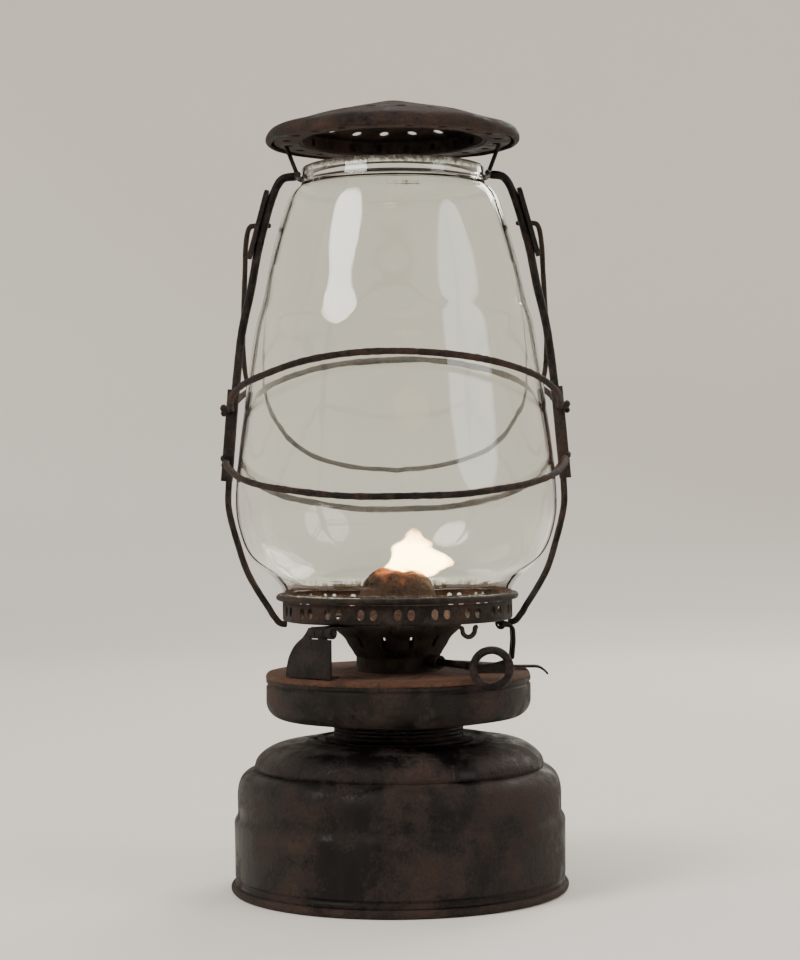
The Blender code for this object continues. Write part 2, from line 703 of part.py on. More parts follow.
def build_hinge_ears():
    place = hinge_frame()
    ear_length = (HINGE_TOP_WIDTH - HINGE_KNUCKLE_LENGTH) / 2 - RUN_GAP
    across = (HINGE_KNUCKLE_LENGTH + ear_length) / 2 + RUN_GAP
    under = GALLERY_BOTTOM - SEAT_GAP - HINGE_LEVEL
    reach = HINGE_RADIUS - GALLERY_RADIUS + 0.0070
    form = bmesh.new()
    add_box(form, (reach, HINGE_TOP_WIDTH, SHEET), Matrix.Translation((-reach / 2, 0, under - SHEET / 2)))
    leaf = add_mesh("hinge_ears", form)
    leaf.matrix_world = place
    for side in (-1, 1):
        form = bmesh.new()
        knuckle(form, side * across, ear_length)
        bmesh.ops.transform(form, matrix=place, verts=form.verts)
        roll = add_mesh(f"hinge_ear_roll_{side}", form, CUTTERS)
        roll.hide_render = True
        roll.display_type = "WIRE"
        join = leaf.modifiers.new(f"Roll {side}", "BOOLEAN")
        join.operation = "UNION"
        join.solver = "EXACT"
        join.object = roll
    bore_knuckle(leaf, "hinge_ears_bore", 2 * HINGE_TOP_WIDTH)
    gap = bmesh.new()
    clearance = HINGE_KNUCKLE_LENGTH + 2 * RUN_GAP
    add_box(gap, (4 * KNUCKLE_RADIUS, clearance, 3 * KNUCKLE_RADIUS), place)
    cut(leaf, gap, "hinge_ears_gap")
    paint(leaf, "hinge_ears_black", BLACKENED, 0.6, 0.6)


LATCH_PIVOT_RADIUS = GALLERY_RADIUS - LATCH_LUG_INSET
LATCH_LUG_RADIUS = LATCH_WIRE + RUN_GAP + LATCH_LUG_WALL
LATCH_LEVEL = GALLERY_BOTTOM - SEAT_GAP - LATCH_LUG_RADIUS


def build_latch():
    length = 2 * (LATCH_HALF_WIDTH - LATCH_WIRE - LOOSE_GAP)
    place = Matrix.Translation((LATCH_PIVOT_RADIUS, 0, LATCH_LEVEL)) @ LAY_ALONG_Y
    form = bmesh.new()
    add_rod(form, LATCH_LUG_RADIUS, length, place, 16)
    lug = add_mesh("latch_lug", form)
    bore = bmesh.new()
    add_rod(bore, LATCH_WIRE + RUN_GAP, 2 * length, place, 16)
    cut(lug, bore, "latch_lug_bore")
    paint(lug, "latch_lug_black", BLACKENED, 0.6, 0.6)

    drop = LATCH_LEVEL - DRUM_TOP - LATCH_FOOT_GAP - LATCH_WIRE
    side = [(0.0, 0.0), (LATCH_REACH - 0.0012, -0.0002), (LATCH_REACH, -0.0016),
            (LATCH_REACH + 0.0002, -drop / 2),
            (LATCH_REACH - 0.0004, -drop)]
    half = LATCH_HALF_WIDTH
    path = [(x, -half, z) for x, z in side] + [(x, half, z) for x, z in reversed(side)]
    link = wire("latch_link", path, LATCH_WIRE, cyclic=True)
    link.location = (LATCH_PIVOT_RADIUS, 0, LATCH_LEVEL)
    paint(link, "latch_link_steel", WORN, 0.5, 0.7)

    root = DRUM_RADIUS + TONGUE_OVERHANG - TONGUE_LENGTH
    level = DRUM_TOP + SEAT_GAP + SHEET / 2
    profile = [(root, level), (root + 0.0060, level), (root + 0.0085, level + 0.0012),
               (root + 0.0150, level + 0.0012), (root + 0.0180, level + 0.0004),
               (DRUM_RADIUS + TONGUE_OVERHANG - 0.0036, level + 0.0002),
               (DRUM_RADIUS + TONGUE_OVERHANG, level - TONGUE_DROP)]
    form = bmesh.new()
    rail = [form.verts.new((x, -TONGUE_WIDTH / 2, z)) for x, z in profile]
    far = [form.verts.new((x, TONGUE_WIDTH / 2, z)) for x, z in profile]
    spans = [((rail[i], rail[i + 1]), (far[i + 1], far[i])) for i in range(len(rail) - 1)]
    for near_edge, far_edge in spans:
        form.faces.new((*near_edge, *far_edge))
    tongue = add_mesh("latch_tongue", form)
    thick = tongue.modifiers.new("Sheet", "SOLIDIFY")
    thick.thickness = SHEET
    thick.offset = 0
    paint(tongue, "latch_tongue_rust", RUSTED, 0.8, 0.4)


def build_gallery_tab():
    half = TAB_WIDTH / 2
    top = GALLERY_BOTTOM - SEAT_GAP - TAB_WIRE
    low = GALLERY_BOTTOM - TAB_DROP + TAB_WIRE
    loop = [(-half - 0.0012, 0, 0), (-half, 0, -0.0006)]
    bow = top - low
    loop += [(half * math.sin(a), 0, -0.0006 - (bow - 0.0006) * math.cos(a))
             for a in (math.radians(d) for d in (-70, -45, -20, 0, 20, 45, 70))]
    loop += [(half, 0, -0.0006), (half + 0.0012, 0, 0)]
    tab = wire("gallery_tab", loop, TAB_WIRE)
    place = around(TAB_ANGLE, GALLERY_RADIUS - 0.0014, top)
    tab.matrix_world = place @ Matrix.Rotation(math.pi / 2, 4, "Z")
    paint(tab, "gallery_tab_rust", RUSTED, 0.8, 0.4)


# ================================================================ gallery and globe
def build_gallery():
    floor_hole = BOWL_RADIUS + GALLERY_FLOOR_GAP
    corner = arc(GALLERY_RADIUS - GALLERY_ROUND, GALLERY_BOTTOM + GALLERY_ROUND, GALLERY_ROUND, 0, -90, 3)
    side = [(GALLERY_RADIUS, GALLERY_TOP)] + corner + [(floor_hole, GALLERY_BOTTOM)]
    band = turned("gallery", side, SHEET)
    form = bmesh.new()
    middle = GALLERY_BOTTOM + GALLERY_DEPTH / 2 + 0.0001
    stretch = Matrix.Diagonal((GALLERY_HOLE_HEIGHT / GALLERY_HOLE_WIDTH, 1.0, 1.0, 1.0))
    for i in range(GALLERY_HOLE_PAIRS):
        for side in (-0.5, 0.5):
            angle = 2 * math.pi * i / GALLERY_HOLE_PAIRS + side * GALLERY_PAIR_ANGLE + GALLERY_HOLE_TURN
            place = around(angle, GALLERY_RADIUS, middle) @ LAY_ALONG_X @ stretch
            add_rod(form, GALLERY_HOLE_WIDTH / 2, 4 * SHEET, place, 8)
    cut(band, form, "gallery_holes")
    paint(band, "gallery_black", BLACKENED, 0.6, 0.6)

    rim = turned("gallery_rim", arc(GALLERY_RADIUS + RIM_WIRE + 0.00015, GALLERY_TOP + SEAT_GAP + RIM_WIRE,
                                    RIM_WIRE, 90, -210, 5), closed=True)
    paint(rim, "gallery_rim_black", BLACKENED, 0.6, 0.6)


def globe_stations():
    """Radius and height of the glass's outer side, from its foot to its neck."""
    foot, belly, neck = GLOBE_FOOT_RADIUS, GLOBE_BELLY_RADIUS, GLOBE_NECK_RADIUS
    swell = belly - foot
    fall = belly - neck
    above = GLOBE_HEIGHT - GLOBE_BELLY_HEIGHT
    return [(foot, 0.0), (foot + 0.0004, 0.0040), (foot + 0.22 * swell, 0.0086),
            (foot + 0.70 * swell, 0.0170),
            (foot + 0.94 * swell, 0.0280), (belly, GLOBE_BELLY_HEIGHT),
            (belly - 0.057 * fall, GLOBE_BELLY_HEIGHT + 0.136 * above),
            (belly - 0.152 * fall, GLOBE_BELLY_HEIGHT + 0.288 * above),
            (belly - 0.303 * fall, GLOBE_BELLY_HEIGHT + 0.502 * above),
            (belly - 0.417 * fall, GLOBE_BELLY_HEIGHT + 0.592 * above),
            (belly - 0.568 * fall, GLOBE_BELLY_HEIGHT + 0.744 * above),
            (belly - 0.784 * fall, GLOBE_BELLY_HEIGHT + 0.896 * above),
            (neck + 0.0012, GLOBE_HEIGHT - GLOBE_NECK_HEIGHT - 0.0018),
            (neck, GLOBE_HEIGHT - GLOBE_NECK_HEIGHT + 0.0006)]


def globe_radius(height):
    """The glass's outer radius at a height above its foot."""
    outline = smooth_through(globe_stations(), 4)
    for (r0, z0), (r1, z1) in zip(outline, outline[1:]):
        if z0 <= height <= z1:
            return r0 + (r1 - r0) * (height - z0) / (z1 - z0)
    return GLOBE_NECK_RADIUS


def build_globe():
    outline = globe_stations() + [(GLOBE_NECK_RADIUS, GLOBE_HEIGHT)]
    profile = [(r, GLOBE_BOTTOM + z) for r, z in reversed(outline)]
    globe = turned("globe", profile, GLASS)
    paint(globe, "globe_glass", (0.95, 0.97, 0.95), 0.05, 0.0, 0.3)


# ================================================================ wire frame
NECK_RING_RADIUS = GLOBE_NECK_RADIUS + LOOSE_GAP + NECK_RING_WIRE
NECK_RING_LEVEL = GLOBE_TOP - GLOBE_NECK_HEIGHT + 0.0011
FRAME_STANDOFFS = ((0.0090, 0.0085), (0.0200, 0.0027), (0.0330, 0.0026), (0.0430, 0.0029),
                   (0.0640, 0.0037), (0.0830, 0.0044), (0.1020, 0.0049), (0.1170, 0.0054),
                   (0.1320, 0.0057), (0.1500, 0.0062))


def frame_table():
    return [(height, globe_radius(height) + standoff) for height, standoff in FRAME_STANDOFFS]


def frame_path():
    top_z = NECK_RING_LEVEL
    start = NECK_RING_RADIUS + NECK_RING_WIRE + SEAT_GAP
    stations = [(start, top_z), (start + 0.0036, top_z - 0.0003), (start + 0.0062, top_z - 0.0030)]
    stations += [(r, GLOBE_BOTTOM + h) for h, r in reversed(frame_table())]
    under = GALLERY_BOTTOM - SEAT_GAP - FRAME_WIRE_LOW
    edge = GALLERY_RADIUS + FRAME_WIRE_LOW
    stations += [(edge + 0.0042, GALLERY_BOTTOM + 0.0048), (edge + 0.0018, GALLERY_BOTTOM + 0.0010),
                 (edge - 0.0006, under - 0.0002), (edge - 0.0018, under - 0.0004)]
    return smooth_through(stations, 2)


def build_frame_wires():
    path = frame_path()
    thin_below = GLOBE_BOTTOM + 0.0520
    radii = [FRAME_WIRE if z > thin_below else FRAME_WIRE_LOW for _, z in path]
    for name, side in (("frame_wire_left", -1), ("frame_wire_right", 1)):
        upright = wire(name, [(side * r, 0, z) for r, z in path], FRAME_WIRE, radii=radii)
        paint(upright, f"{name}_black", BLACKENED, 0.6, 0.7)


def build_neck_ring():
    """An open ring round the back of the neck, a little higher behind, its ends just past the sides."""
    path = []
    for i in range(33):
        angle = -NECK_RING_LAP + (math.pi + 2 * NECK_RING_LAP) * i / 32
        rise = NECK_RING_RISE * max(0.0, math.sin(angle)) ** 2
        path.append((NECK_RING_RADIUS * math.cos(angle), NECK_RING_RADIUS * math.sin(angle),
                     NECK_RING_LEVEL + rise))
    ring = wire("neck_ring", path, NECK_RING_WIRE)
    paint(ring, "neck_ring_black", BLACKENED, 0.6, 0.7)


def build_struts():
    foot = NECK_RING_LEVEL + NECK_RING_WIRE + LOOSE_GAP
    head = HOOD_BOTTOM + SKIRT_LIFT - LOOSE_GAP
    for name, side in (("strut_left", -1), ("strut_right", 1)):
        path = [(side * NECK_RING_RADIUS, 0, foot), (side * (NECK_RING_RADIUS + STRUT_SPREAD), 0, head)]
        strut = wire(name, path, STRUT_WIRE)
        paint(strut, f"{name}_black", BLACKENED, 0.6, 0.7)


def build_straps():
    low = (frame_at(STRAP_LOW), GLOBE_BOTTOM + STRAP_LOW)
    high = (frame_at(STRAP_LOW + STRAP_LENGTH), GLOBE_BOTTOM + STRAP_LOW + STRAP_LENGTH)
    middle_r = (low[0] + high[0]) / 2
    lean = math.atan2(low[0] - high[0], high[1] - low[1])
    inner = FRAME_WIRE + STRAP_FIT
    outer = inner + STRAP_SHEET
    for name, side in (("strap_left", -1), ("strap_right", 1)):
        mouth = -inner * 0.6
        outline = [(mouth, -outer), (outer, -outer), (outer, outer), (mouth, outer), (mouth, inner),
                   (inner, inner), (inner, -inner), (mouth, -inner)]
        channel = plate(name, [outline], STRAP_LENGTH)
        place = Matrix.Translation((side * middle_r, 0, (low[1] + high[1]) / 2))
        turn = Matrix.Rotation(0 if side > 0 else math.pi, 4, "Z") @ Matrix.Rotation(-lean, 4, "Y")
        channel.matrix_world = place @ turn
        paint(channel, f"{name}_rust", RUSTED, 0.8, 0.4)


def frame_at(height):
    """Radius of the frame wire at any height, read between its stations."""
    path = [(z - GLOBE_BOTTOM, r) for r, z in frame_path()]
    for (z1, r1), (z0, r0) in zip(path, path[1:]):
        if z0 <= height <= z1:
            return r0 + (r1 - r0) * (height - z0) / (z1 - z0)
    return GALLERY_RADIUS


def build_guards():
    strap_half = FRAME_WIRE + STRAP_FIT + STRAP_SHEET + 2 * SEAT_GAP
    guards = (("guard_upper_front", -1, GUARD_UPPER_HEIGHT, GUARD_UPPER_BOW_FRONT),
              ("guard_upper_rear", 1, GUARD_UPPER_HEIGHT, GUARD_UPPER_BOW_REAR),
              ("guard_lower_front", -1, GUARD_LOWER_HEIGHT, GUARD_LOWER_BOW_FRONT),
              ("guard_lower_rear", 1, GUARD_LOWER_HEIGHT, GUARD_LOWER_BOW_REAR))
    for name, side, level, bow in guards:
        across = frame_at(level) + 0.0010
        path = []
        for i in range(21):
            angle = math.pi * i / 20
            reach = strap_half + (GUARD_DEPTH - strap_half) * math.sin(angle)
            path.append((across * math.cos(angle), side * reach,
                         GLOBE_BOTTOM + level + bow * math.sin(angle)))
        hoop = wire(name, path, GUARD_WIRE)
        paint(hoop, f"{name}_rust", RUSTED, 0.8, 0.4)


# ================================================================ ears and bail
def ear_offset():
    return FRAME_WIRE + SEAT_GAP + EAR_SHEET / 2 + 0.0003


def build_ears():
    radius = frame_at(EAR_PIVOT_HEIGHT)
    step = 0.0060
    lean = math.atan2(frame_at(EAR_PIVOT_HEIGHT - step) - frame_at(EAR_PIVOT_HEIGHT + step), 2 * step)
    half = EAR_HEIGHT / 2
    for name, side in (("ear_left", -1), ("ear_right", 1)):
        outline = [(-0.0022, -half * 0.8), (0.0022, -half * 0.8)]
        outline += [(EAR_BACK + y, z) for y, z in arc(0, 0, 0.0034, -60, 60, 6)]
        outline += [(0.0022, half * 0.8), (-0.0022, half * 0.8)]
        hole = arc(EAR_BACK, 0, BAIL_WIRE + RUN_GAP, 0, 330, 11)
        tab = plate(name, [outline, hole], EAR_SHEET)
        place = Matrix.Translation((side * (radius + ear_offset()), 0, BAIL_PIVOT))
        stand = Matrix(((0, 0, 1, 0), (1, 0, 0, 0), (0, 1, 0, 0), (0, 0, 0, 1)))
        tab.matrix_world = place @ Matrix.Rotation(-side * lean, 4, "Y") @ stand
        paint(tab, f"{name}_black", BLACKENED, 0.6, 0.6)


def build_bail():
    pivot = empty("bail_axis", (0, EAR_BACK, BAIL_PIVOT))
    pivot.rotation_euler = (BAIL_REST_ANGLE, 0, 0)
    inside = frame_at(EAR_PIVOT_HEIGHT) + ear_offset() - BAIL_TIP
    knee = frame_at(EAR_PIVOT_HEIGHT) + ear_offset() + EAR_SHEET + 0.0032
    bulge = knee + BAIL_BULGE
    side = smooth_through([(knee, 0.0042), (knee + 0.0020, 0.020), (bulge - 0.0012, 0.045), (bulge, 0.060),
                           (bulge - 0.0016, 0.075), (bulge - 0.0080, 0.090),
                           (bulge * 0.66, BAIL_LENGTH - 0.0120), (bulge * 0.34, BAIL_LENGTH - 0.0030),
                           (0.0, BAIL_LENGTH)], 2)
    half = [(inside, 0.0), (knee - 0.0030, 0.0), (knee - 0.0008, 0.0012)] + side
    path = [(x, 0, -t) for x, t in half] + [(-x, 0, -t) for x, t in reversed(half[:-1])]
    bail = wire("bail", path, BAIL_WIRE)
    bail.parent = pivot
    paint(bail, "bail_steel", WORN, 0.6, 0.7)


# ================================================================ hood
SKIRT_LEVEL = HOOD_BOTTOM + SKIRT_LIFT


def build_hood():
    rim_top = HOOD_BOTTOM + HOOD_RIM_HEIGHT
    crown = HOOD_TOP - HOOD_CROWN_RISE
    profile = [(0.0, HOOD_TOP), (HOOD_CROWN_RADIUS * 0.5, HOOD_TOP - HOOD_CROWN_RISE * 0.4),
               (HOOD_CROWN_RADIUS, crown)]
    edge = HOOD_RADIUS - HOOD_RIM_ROUND
    fall = crown - rim_top
    for share in (0.35, 0.72, 1.0):
        radius = HOOD_CROWN_RADIUS + (edge - HOOD_CROWN_RADIUS) * share
        profile.append((radius, crown - fall * share))
    profile.append((HOOD_RADIUS, rim_top - HOOD_RIM_ROUND))
    profile += arc(HOOD_RADIUS - HOOD_RIM_ROUND, HOOD_BOTTOM + HOOD_RIM_ROUND, HOOD_RIM_ROUND, 0, -100, 3)
    hood = turned("hood_top", profile, SHEET)
    form = bmesh.new()
    for i in range(HOOD_HOLES):
        turn = HOOD_HOLE_TURN + 2 * math.pi * i / HOOD_HOLES
        place = around(turn, HOOD_HOLE_CIRCLE, HOOD_TOP - HOOD_HOLE_DROP)
        add_rod(form, HOOD_HOLE_RADIUS, HOOD_HOLE_DEPTH, place @ Matrix.Diagonal(HOOD_HOLE_STRETCH), 8)
    cut(hood, form, "hood_holes")
    paint(hood, "hood_rust", WORN, 0.85, 0.4)


def build_skirt():
    outer = HOOD_RADIUS - SKIRT_INSET
    section = [(outer, SKIRT_LEVEL + SHEET), (outer, SKIRT_LEVEL), (SKIRT_INNER_RADIUS, SKIRT_LEVEL),
               (SKIRT_INNER_RADIUS, SKIRT_LEVEL + SHEET)]
    skirt = turned("hood_skirt", section, closed=True)
    form = bmesh.new()
    middle = (outer + SKIRT_INNER_RADIUS) / 2
    for i in range(SKIRT_HOLES):
        place = around(2 * math.pi * (i + 0.5) / SKIRT_HOLES, middle, SKIRT_LEVEL)
        add_rod(form, SKIRT_HOLE_RADIUS, 0.0060, place, 6)
    cut(skirt, form, "skirt_holes")
    paint(skirt, "skirt_rust", RUSTED, 0.85, 0.3)


def build_deflector():
    low = SKIRT_LEVEL + SEAT_GAP
    wall = [(DEFLECTOR_RADIUS, low + DEFLECTOR_HEIGHT), (DEFLECTOR_RADIUS, low)]
    tube = turned("hood_deflector", wall, SHEET)
    form = bmesh.new()
    for i in range(DEFLECTOR_SLOTS):
        angle = 2 * math.pi * (i + 0.5) / DEFLECTOR_SLOTS
        add_box(form, (4 * SHEET, DEFLECTOR_SLOT_WIDTH, DEFLECTOR_HEIGHT * DEFLECTOR_SLOT_SHARE),
                around(angle, DEFLECTOR_RADIUS, low + DEFLECTOR_HEIGHT / 2))
    cut(tube, form, "deflector_slots")
    paint(tube, "deflector_rust", RUSTED, 0.85, 0.3)


build_foot_ring()
build_tank_bottom()
build_tank_shell()
build_collar()
build_gasket()
build_drum()
build_ferrule()
build_burner_cup()
build_wick_tube()
build_burner_plate()
build_burner_cone()
build_sleeve()
build_wick()
build_winder()
build_spur_wheels()
build_hinge()
build_hinge_ears()
build_latch()
build_gallery_tab()
build_gallery()
build_globe()
build_neck_ring()
build_frame_wires()
build_struts()
build_straps()
build_guards()
build_ears()
build_bail()
build_hood()
build_skirt()
build_deflector()
for part in LANTERN.objects:
    if part.type == "MESH":
        shade_round(part)
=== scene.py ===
import math

import bmesh
import bpy
from mathutils import Matrix, Vector, noise


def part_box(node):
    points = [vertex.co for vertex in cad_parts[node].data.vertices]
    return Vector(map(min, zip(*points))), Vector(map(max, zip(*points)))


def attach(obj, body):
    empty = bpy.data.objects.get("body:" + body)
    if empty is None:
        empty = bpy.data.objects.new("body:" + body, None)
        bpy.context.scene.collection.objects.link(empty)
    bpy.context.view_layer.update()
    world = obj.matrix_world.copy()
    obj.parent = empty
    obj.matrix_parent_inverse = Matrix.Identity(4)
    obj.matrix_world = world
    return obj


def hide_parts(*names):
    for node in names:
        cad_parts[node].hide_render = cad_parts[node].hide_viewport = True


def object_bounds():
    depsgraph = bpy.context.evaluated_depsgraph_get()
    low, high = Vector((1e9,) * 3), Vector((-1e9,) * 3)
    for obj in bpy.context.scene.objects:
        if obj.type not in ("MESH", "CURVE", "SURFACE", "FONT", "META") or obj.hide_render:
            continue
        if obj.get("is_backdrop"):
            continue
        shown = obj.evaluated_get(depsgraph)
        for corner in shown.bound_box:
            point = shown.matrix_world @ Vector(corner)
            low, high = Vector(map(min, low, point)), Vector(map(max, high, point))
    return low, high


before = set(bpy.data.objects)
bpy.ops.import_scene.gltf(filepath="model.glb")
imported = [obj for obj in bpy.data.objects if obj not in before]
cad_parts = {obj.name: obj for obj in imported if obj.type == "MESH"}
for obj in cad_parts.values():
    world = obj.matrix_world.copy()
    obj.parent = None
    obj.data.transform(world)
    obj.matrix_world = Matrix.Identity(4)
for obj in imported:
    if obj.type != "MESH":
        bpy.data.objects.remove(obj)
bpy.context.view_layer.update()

# ---------------------------------------------------------------- foot ring
# The bead rolled round the bottom of the fount, where the wall and the bottom are seamed
# together. Tinplate, rusted through its black, and the lantern stands on it.


def add_node(tree, kind, inputs=None, **settings):
    """Adds a shader node, with sockets linked or set by name, and returns it."""
    made = tree.nodes.new("ShaderNode" + kind)
    for key, value in settings.items():
        setattr(made, key, value)
    for key, value in (inputs or {}).items():
        if isinstance(value, bpy.types.NodeSocket):
            tree.links.new(value, made.inputs[key])
        else:
            made.inputs[key].default_value = value
    return made


def ramp(tree, amount, stops):
    """A run of colours, given as (position, (r, g, b))."""
    made = add_node(tree, "ValToRGB", {"Fac": amount})
    run = made.color_ramp
    while len(run.elements) < len(stops):
        run.elements.new(1.0)
    for element, (position, colour) in zip(run.elements, stops):
        element.position = position
        element.color = (*colour, 1.0)
    return made.outputs["Color"]


def old_metal(name, skin, crust, rusted, gloss=0.42, metal=0.75, patch=60.0, grain=0.00022, soot=0.35):
    """Old metal: a dark skin with brown bloom, and rust that breaks through in grains."""
    finish = bpy.data.materials.new(name)
    finish.use_nodes = True
    tree = finish.node_tree
    shader = tree.nodes["Principled BSDF"]
    place = add_node(tree, "TexCoord").outputs["Object"]
    patches = add_node(tree, "TexNoise", {"Vector": place, "Scale": patch, "Detail": 8.0, "Roughness": 0.68})
    broad = add_node(tree, "TexNoise", {"Vector": place, "Scale": 17.0, "Detail": 3.0, "Roughness": 0.5})
    grains = add_node(tree, "TexNoise", {"Vector": place, "Scale": 950.0, "Detail": 5.0, "Roughness": 0.75})
    flakes = add_node(tree, "TexVoronoi", {"Vector": place, "Scale": 520.0, "Randomness": 1.0})
    stretch = add_node(tree, "Mapping", {"Vector": place, "Scale": (1.0, 1.0, 0.22)})
    runs = add_node(tree, "TexNoise", {"Vector": stretch.outputs["Vector"], "Scale": 230.0, "Detail": 4.0})
    ragged = add_node(tree, "Math", {0: grains.outputs["Fac"], 1: 0.32, 2: patches.outputs["Fac"]},
                      operation="MULTIPLY_ADD")
    ragged = add_node(tree, "Math", {0: broad.outputs["Fac"], 1: 0.4, 2: ragged.outputs[0]}, operation="MULTIPLY_ADD")
    middle = 1.04 - 0.36 * rusted
    rust = add_node(tree, "MapRange", {"Value": ragged.outputs[0], "From Min": middle - 0.13,
                                       "From Max": middle + 0.11}, interpolation_type="SMOOTHSTEP").outputs["Result"]
    dark = ramp(tree, runs.outputs["Fac"], [(0.30, tuple(c * soot for c in skin)), (0.72, skin)])
    brown = ramp(tree, grains.outputs["Fac"], [(0.28, tuple(c * 0.22 for c in crust)),
                                               (0.52, tuple(c * 0.62 for c in crust)), (0.74, crust)])
    colour = add_node(tree, "Mix", {0: rust, 6: dark, 7: brown}, data_type="RGBA").outputs[2]
    tree.links.new(colour, shader.inputs["Base Color"])
    rough = add_node(tree, "MapRange", {"Value": runs.outputs["Fac"], "To Min": gloss - 0.10, "To Max": gloss + 0.22})
    rough = add_node(tree, "Mix", {0: rust, 2: rough.outputs["Result"], 3: 0.93})
    tree.links.new(rough.outputs[0], shader.inputs["Roughness"])
    sheen = add_node(tree, "MapRange", {"Value": rust, "To Min": metal, "To Max": 0.05})
    tree.links.new(sheen.outputs["Result"], shader.inputs["Metallic"])
    pitted = add_node(tree, "Math", {0: flakes.outputs["Distance"], 1: 0.5, 2: grains.outputs["Fac"]},
                      operation="MULTIPLY_ADD")
    depth = add_node(tree, "MapRange", {"Value": rust, "To Min": 0.16, "To Max": 1.0})
    relief = add_node(tree, "Math", {0: pitted.outputs[0], 1: depth.outputs["Result"]}, operation="MULTIPLY")
    bump = add_node(tree, "Bump", {"Height": relief.outputs[0], "Strength": 0.9, "Distance": grain * 3.0})
    tree.links.new(bump.outputs["Normal"], shader.inputs["Normal"])
    return finish


def as_piece(name, form, corner=38.0):
    """Makes the shape an object, round where it is round, with its real corners kept sharp."""
    mesh = bpy.data.meshes.new(name)
    form.to_mesh(mesh)
    form.free()
    for face in mesh.polygons:
        face.use_smooth = True
    mesh.set_sharp_from_angle(angle=math.radians(corner))
    piece = bpy.data.objects.new(name, mesh)
    bpy.context.collection.objects.link(piece)
    return piece


def arc(centre_r, centre_z, radius, start, end, steps):
    """Points along an arc, its angles in degrees from outwards towards up."""
    angles = [math.radians(start + (end - start) * i / steps) for i in range(steps + 1)]
    return [(centre_r + radius * math.cos(a), centre_z + radius * math.sin(a)) for a in angles]


def spun(name, outline, steps=160, closed=True, dents=0.0, dent_size=30.0, seed=0.0, corner=38.0):
    """An outline of (radius, height) spun round the lantern's axis, then knocked about a little."""
    form = bmesh.new()
    line = [form.verts.new((r, 0.0, z)) for r, z in outline]
    joins = list(zip(line, line[1:])) + ([(line[-1], line[0])] if closed else [])
    edges = [form.edges.new(pair) for pair in joins]
    bmesh.ops.spin(form, geom=line + edges, cent=(0, 0, 0), axis=(0, 0, 1), angle=math.tau,
                   steps=steps, use_merge=True)
    bmesh.ops.remove_doubles(form, verts=form.verts, dist=0.000004)
    bmesh.ops.recalc_face_normals(form, faces=form.faces)
    for vert in form.verts:
        push = noise.noise(vert.co * dent_size + Vector((seed, 0, 0)))
        outwards = Vector((vert.co.x, vert.co.y, 0.4 * vert.co.length)).normalized()
        vert.co += outwards * push * dents
    return as_piece(name, form, corner)


def walled(outline, wall):
    """The closed section of a sheet: the outline, and back along it at the wall's thickness inwards."""
    points = [Vector(p) for p in outline]
    inner = []
    for i, point in enumerate(points):
        ahead = (points[min(i + 1, len(points) - 1)] - point).normalized()
        behind = (point - points[max(i - 1, 0)]).normalized()
        along = (ahead + behind).normalized()
        square = Vector((along.y, -along.x))
        lean = max(0.5, along.dot(ahead if ahead.length else behind))
        inner.append(point + square * wall / lean)
    inner = [Vector((max(p.x, 0.0), p.y)) for p in inner]
    return [tuple(p) for p in points] + [tuple(p) for p in reversed(inner)]


def flowing(stations, per_span=6):
    """A smooth curve through the stations, which may be flat or in space."""
    knots = [Vector(p) for p in stations]
    knots = [2 * knots[0] - knots[1]] + knots + [2 * knots[-1] - knots[-2]]
    points = []
    for i in range(1, len(knots) - 2):
        a, b, c, d = knots[i - 1:i + 3]
        for step in range(per_span):
            t = step / per_span
            points.append(0.5 * (2 * b + (c - a) * t + (2 * a - 5 * b + 4 * c - d) * t * t
                                 + (3 * b - 3 * c + d - a) * t * t * t))
    return [tuple(p) for p in points + [knots[-2]]]


def fitted(piece, body, slot, finish, *nodes):
    """Gives the piece its finish and its place: it rides on the body and stands for the CAD nodes."""
    piece.data.materials.clear()
    piece.data.materials.append(finish)
    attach(piece, body)
    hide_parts(*nodes)
    return piece


def refinished(node, finish):
    """Keeps a CAD node as it is and gives it a better finish."""
    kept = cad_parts[node]
    kept.data.materials.clear()
    kept.data.materials.append(finish)


SHEET = 0.0008
BLACK = (0.013, 0.010, 0.009)
RUST = (0.042, 0.018, 0.010)
tank_black = old_metal("fount_black", BLACK, RUST, 0.34, gloss=0.40)
seam_rust = old_metal("seam_rust", (0.015, 0.010, 0.008), RUST, 0.62, gloss=0.5)

foot_low, foot_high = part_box("foot_ring")
foot_radius = foot_high.x
foot_height = foot_high.z
bead = foot_height / 2
section = [(foot_radius - 0.0018, foot_height)] + arc(foot_radius - bead, bead, bead, 55, -90, 12)
section += [(foot_radius - 0.0018, 0.0)]
foot = spun("fount_foot_ring", section, steps=200)
fitted(foot, "fount", "rusted_tin", seam_rust, "foot_ring")
refinished("tank_bottom", seam_rust)

# ---------------------------------------------------------------- fount
# The oil tank: a straight wall drawn in at a step, a rounded shoulder, and a raised tier
# that carries the collar. Pressed tinplate, blackened by years of soot, rusting at each seam.
tank_low, tank_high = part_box("tank_shell")
tank_radius = tank_high.x
tank_foot = tank_low.z
tank_top = tank_high.z
collar_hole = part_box("tank_collar")[1].x - 0.0034 + 0.0006
upper_radius = 0.0615
tier_radius = 0.0550
outline = [(collar_hole, tank_top), (0.0318, tank_top), (0.0330, tank_top + 0.0007), (0.0352, tank_top + 0.0007),
           (0.0366, tank_top - 0.0001)]
outline += flowing([(0.0366, tank_top - 0.0001), (0.0430, 0.0556), (0.0478, 0.0545), (0.0517, 0.0524),
                    (0.0541, 0.0500), (0.0550, 0.0476)], 5)[1:]
outline += [(0.0549, 0.0468), (0.0546, 0.0462)]
outline += flowing([(0.0552, 0.0460), (0.0577, 0.0452), (0.0598, 0.0433), (0.0610, 0.0405),
                    (upper_radius, 0.0372), (upper_radius, 0.0335), (upper_radius, 0.0298)], 4)
